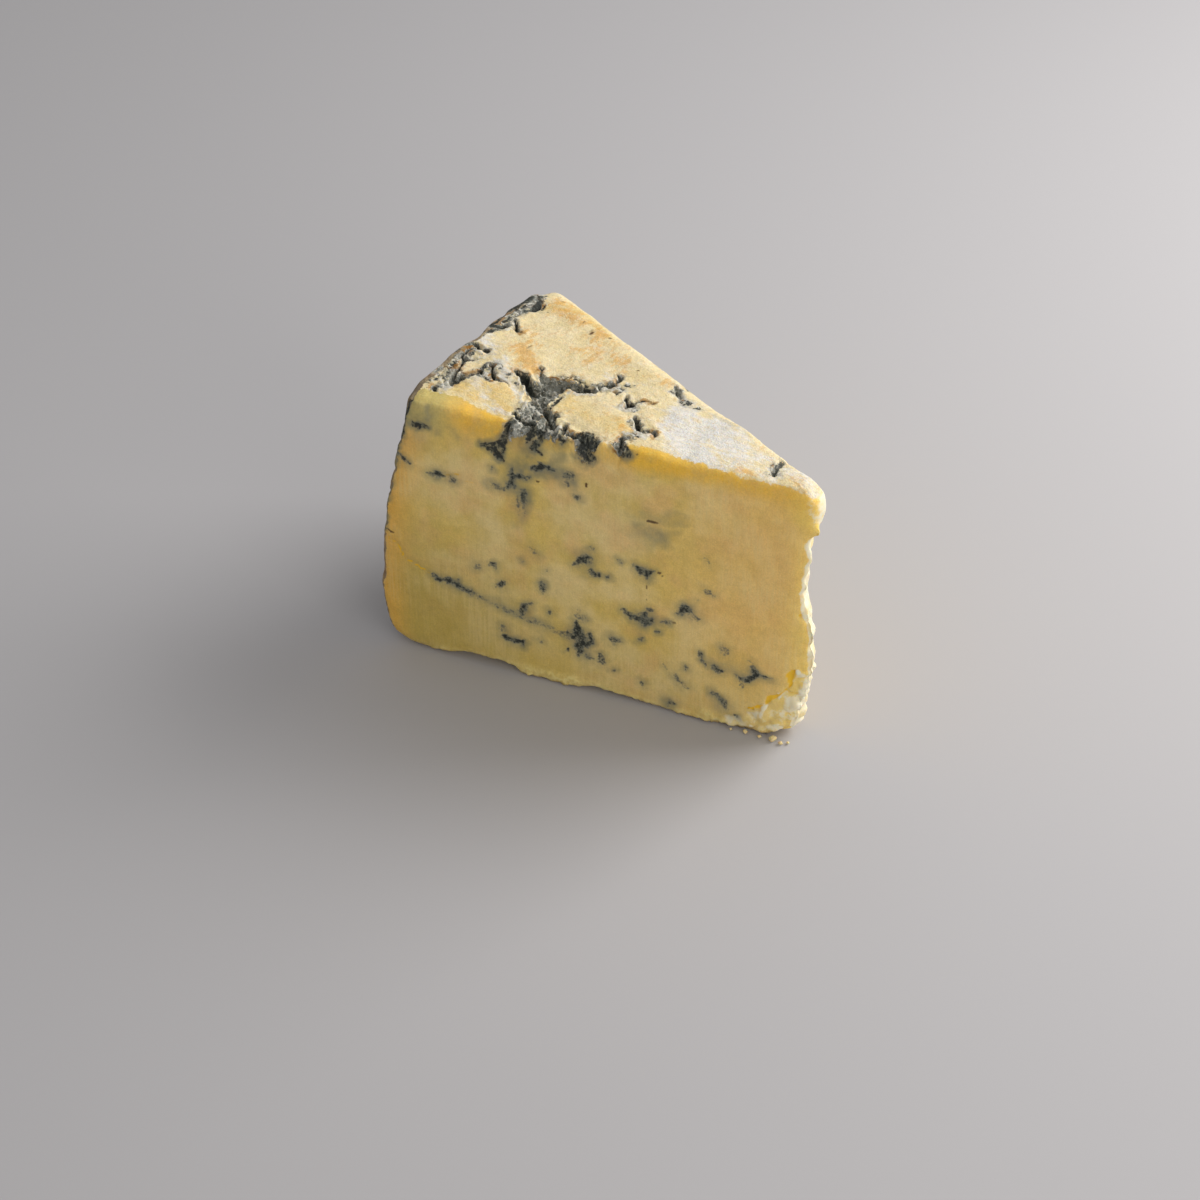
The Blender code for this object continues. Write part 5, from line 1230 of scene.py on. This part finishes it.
crumbs_piece = loose_crumbs()
crumb_paste = Recipe("broken curd", 0.6, Subsurface_Weight=0.2, Subsurface_Scale=1.0 * MM)
crumb_grain = crumb_paste.noise(0.5, 3.0)
crumb_colour = crumb_paste.blend(crumb_paste.span(crumb_grain, 0.35, 0.65), PASTE_PALE, CRUST)
crumb_paste.feed(crumb_paste.shader.inputs["Base Color"], crumb_colour)
crumb_paste.feed(crumb_paste.shader.inputs["Normal"], crumb_paste.bump(crumb_grain, 0.12))
crumbs_piece.data.materials.append(crumb_paste.material)
print(len(CRUMB_PLACES), "crumbs")

# %% [markdown]
# ## Floor, light and camera
#
# A pale floor, a soft even sky and one broad lamp to the right and behind the slice: the crust and the
# broken tip catch the light, and the front cut face lies in soft shade, where its colours read best.

# %% Floor
FLOOR_SIZE = 4.0
floor_mesh = bpy.data.meshes.new("floor")
bm = bmesh.new()
bmesh.ops.create_grid(bm, x_segments=1, y_segments=1, size=FLOOR_SIZE / 2)
bm.to_mesh(floor_mesh)
bm.free()
floor = bpy.data.objects.new("floor", floor_mesh)
bpy.context.scene.collection.objects.link(floor)
floor.location.z = -0.0002
matte = Recipe("pale grey floor", 0.85)
matte.feed(matte.shader.inputs["Base Color"], colour(186, 184, 186))
floor_mesh.materials.append(matte.material)
print("floor placed")

# %% Lights
scene = bpy.context.scene
scene.view_settings.view_transform = "Standard"
world = bpy.data.worlds.new("soft sky")
world.use_nodes = True
world.node_tree.nodes["Background"].inputs["Color"].default_value = (1.0, 1.0, 1.0, 1.0)
world.node_tree.nodes["Background"].inputs["Strength"].default_value = 0.42
scene.world = world


def lamp(name, turn, rise, distance, size, power, tone=(1.0, 1.0, 1.0)):
    """A square soft lamp aimed at the slice, at a turn round it from +X and a rise above the floor."""
    light = bpy.data.lights.new(name, "AREA")
    light.size = size
    light.energy = power
    light.color = tone
    obj = bpy.data.objects.new(name, light)
    scene.collection.objects.link(obj)
    a, e = math.radians(turn), math.radians(rise)
    away = Vector((math.cos(a) * math.cos(e), math.sin(a) * math.cos(e), math.sin(e)))
    obj.location = Vector((0.0, 0.0, 0.03)) + away * distance
    obj.rotation_euler = away.to_track_quat("Z", "Y").to_euler()
    return obj


lamp("window", 58.0, 36.0, 0.62, 0.42, 3.6, (1.0, 0.985, 0.96))
lamp("bounce", -20.0, 20.0, 0.7, 0.4, 1.0, (1.0, 0.96, 0.9))
print("lights placed")

# %% Camera
camera_data = bpy.data.cameras.new("camera")
camera_data.sensor_width = 36.0
camera_data.lens = 75.0
camera = bpy.data.objects.new("camera", camera_data)
scene.collection.objects.link(camera)
camera.location = (AXIS_X + 197.5 * MM, -339.5 * MM, 364.0 * MM)
aim = Vector((AXIS_X - 72.0 * MM, 10.4 * MM, 0.0))
camera.rotation_euler = (camera.location - aim).to_track_quat("Z", "Y").to_euler()
scene.camera = camera
print("camera looks down", round(math.degrees(math.asin(364.0 / 572.3)), 1), "degrees")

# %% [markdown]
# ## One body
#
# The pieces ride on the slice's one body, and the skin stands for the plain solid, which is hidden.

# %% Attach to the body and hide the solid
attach(wedge, "root")
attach(crumbs_piece, "root")
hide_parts(NODE)
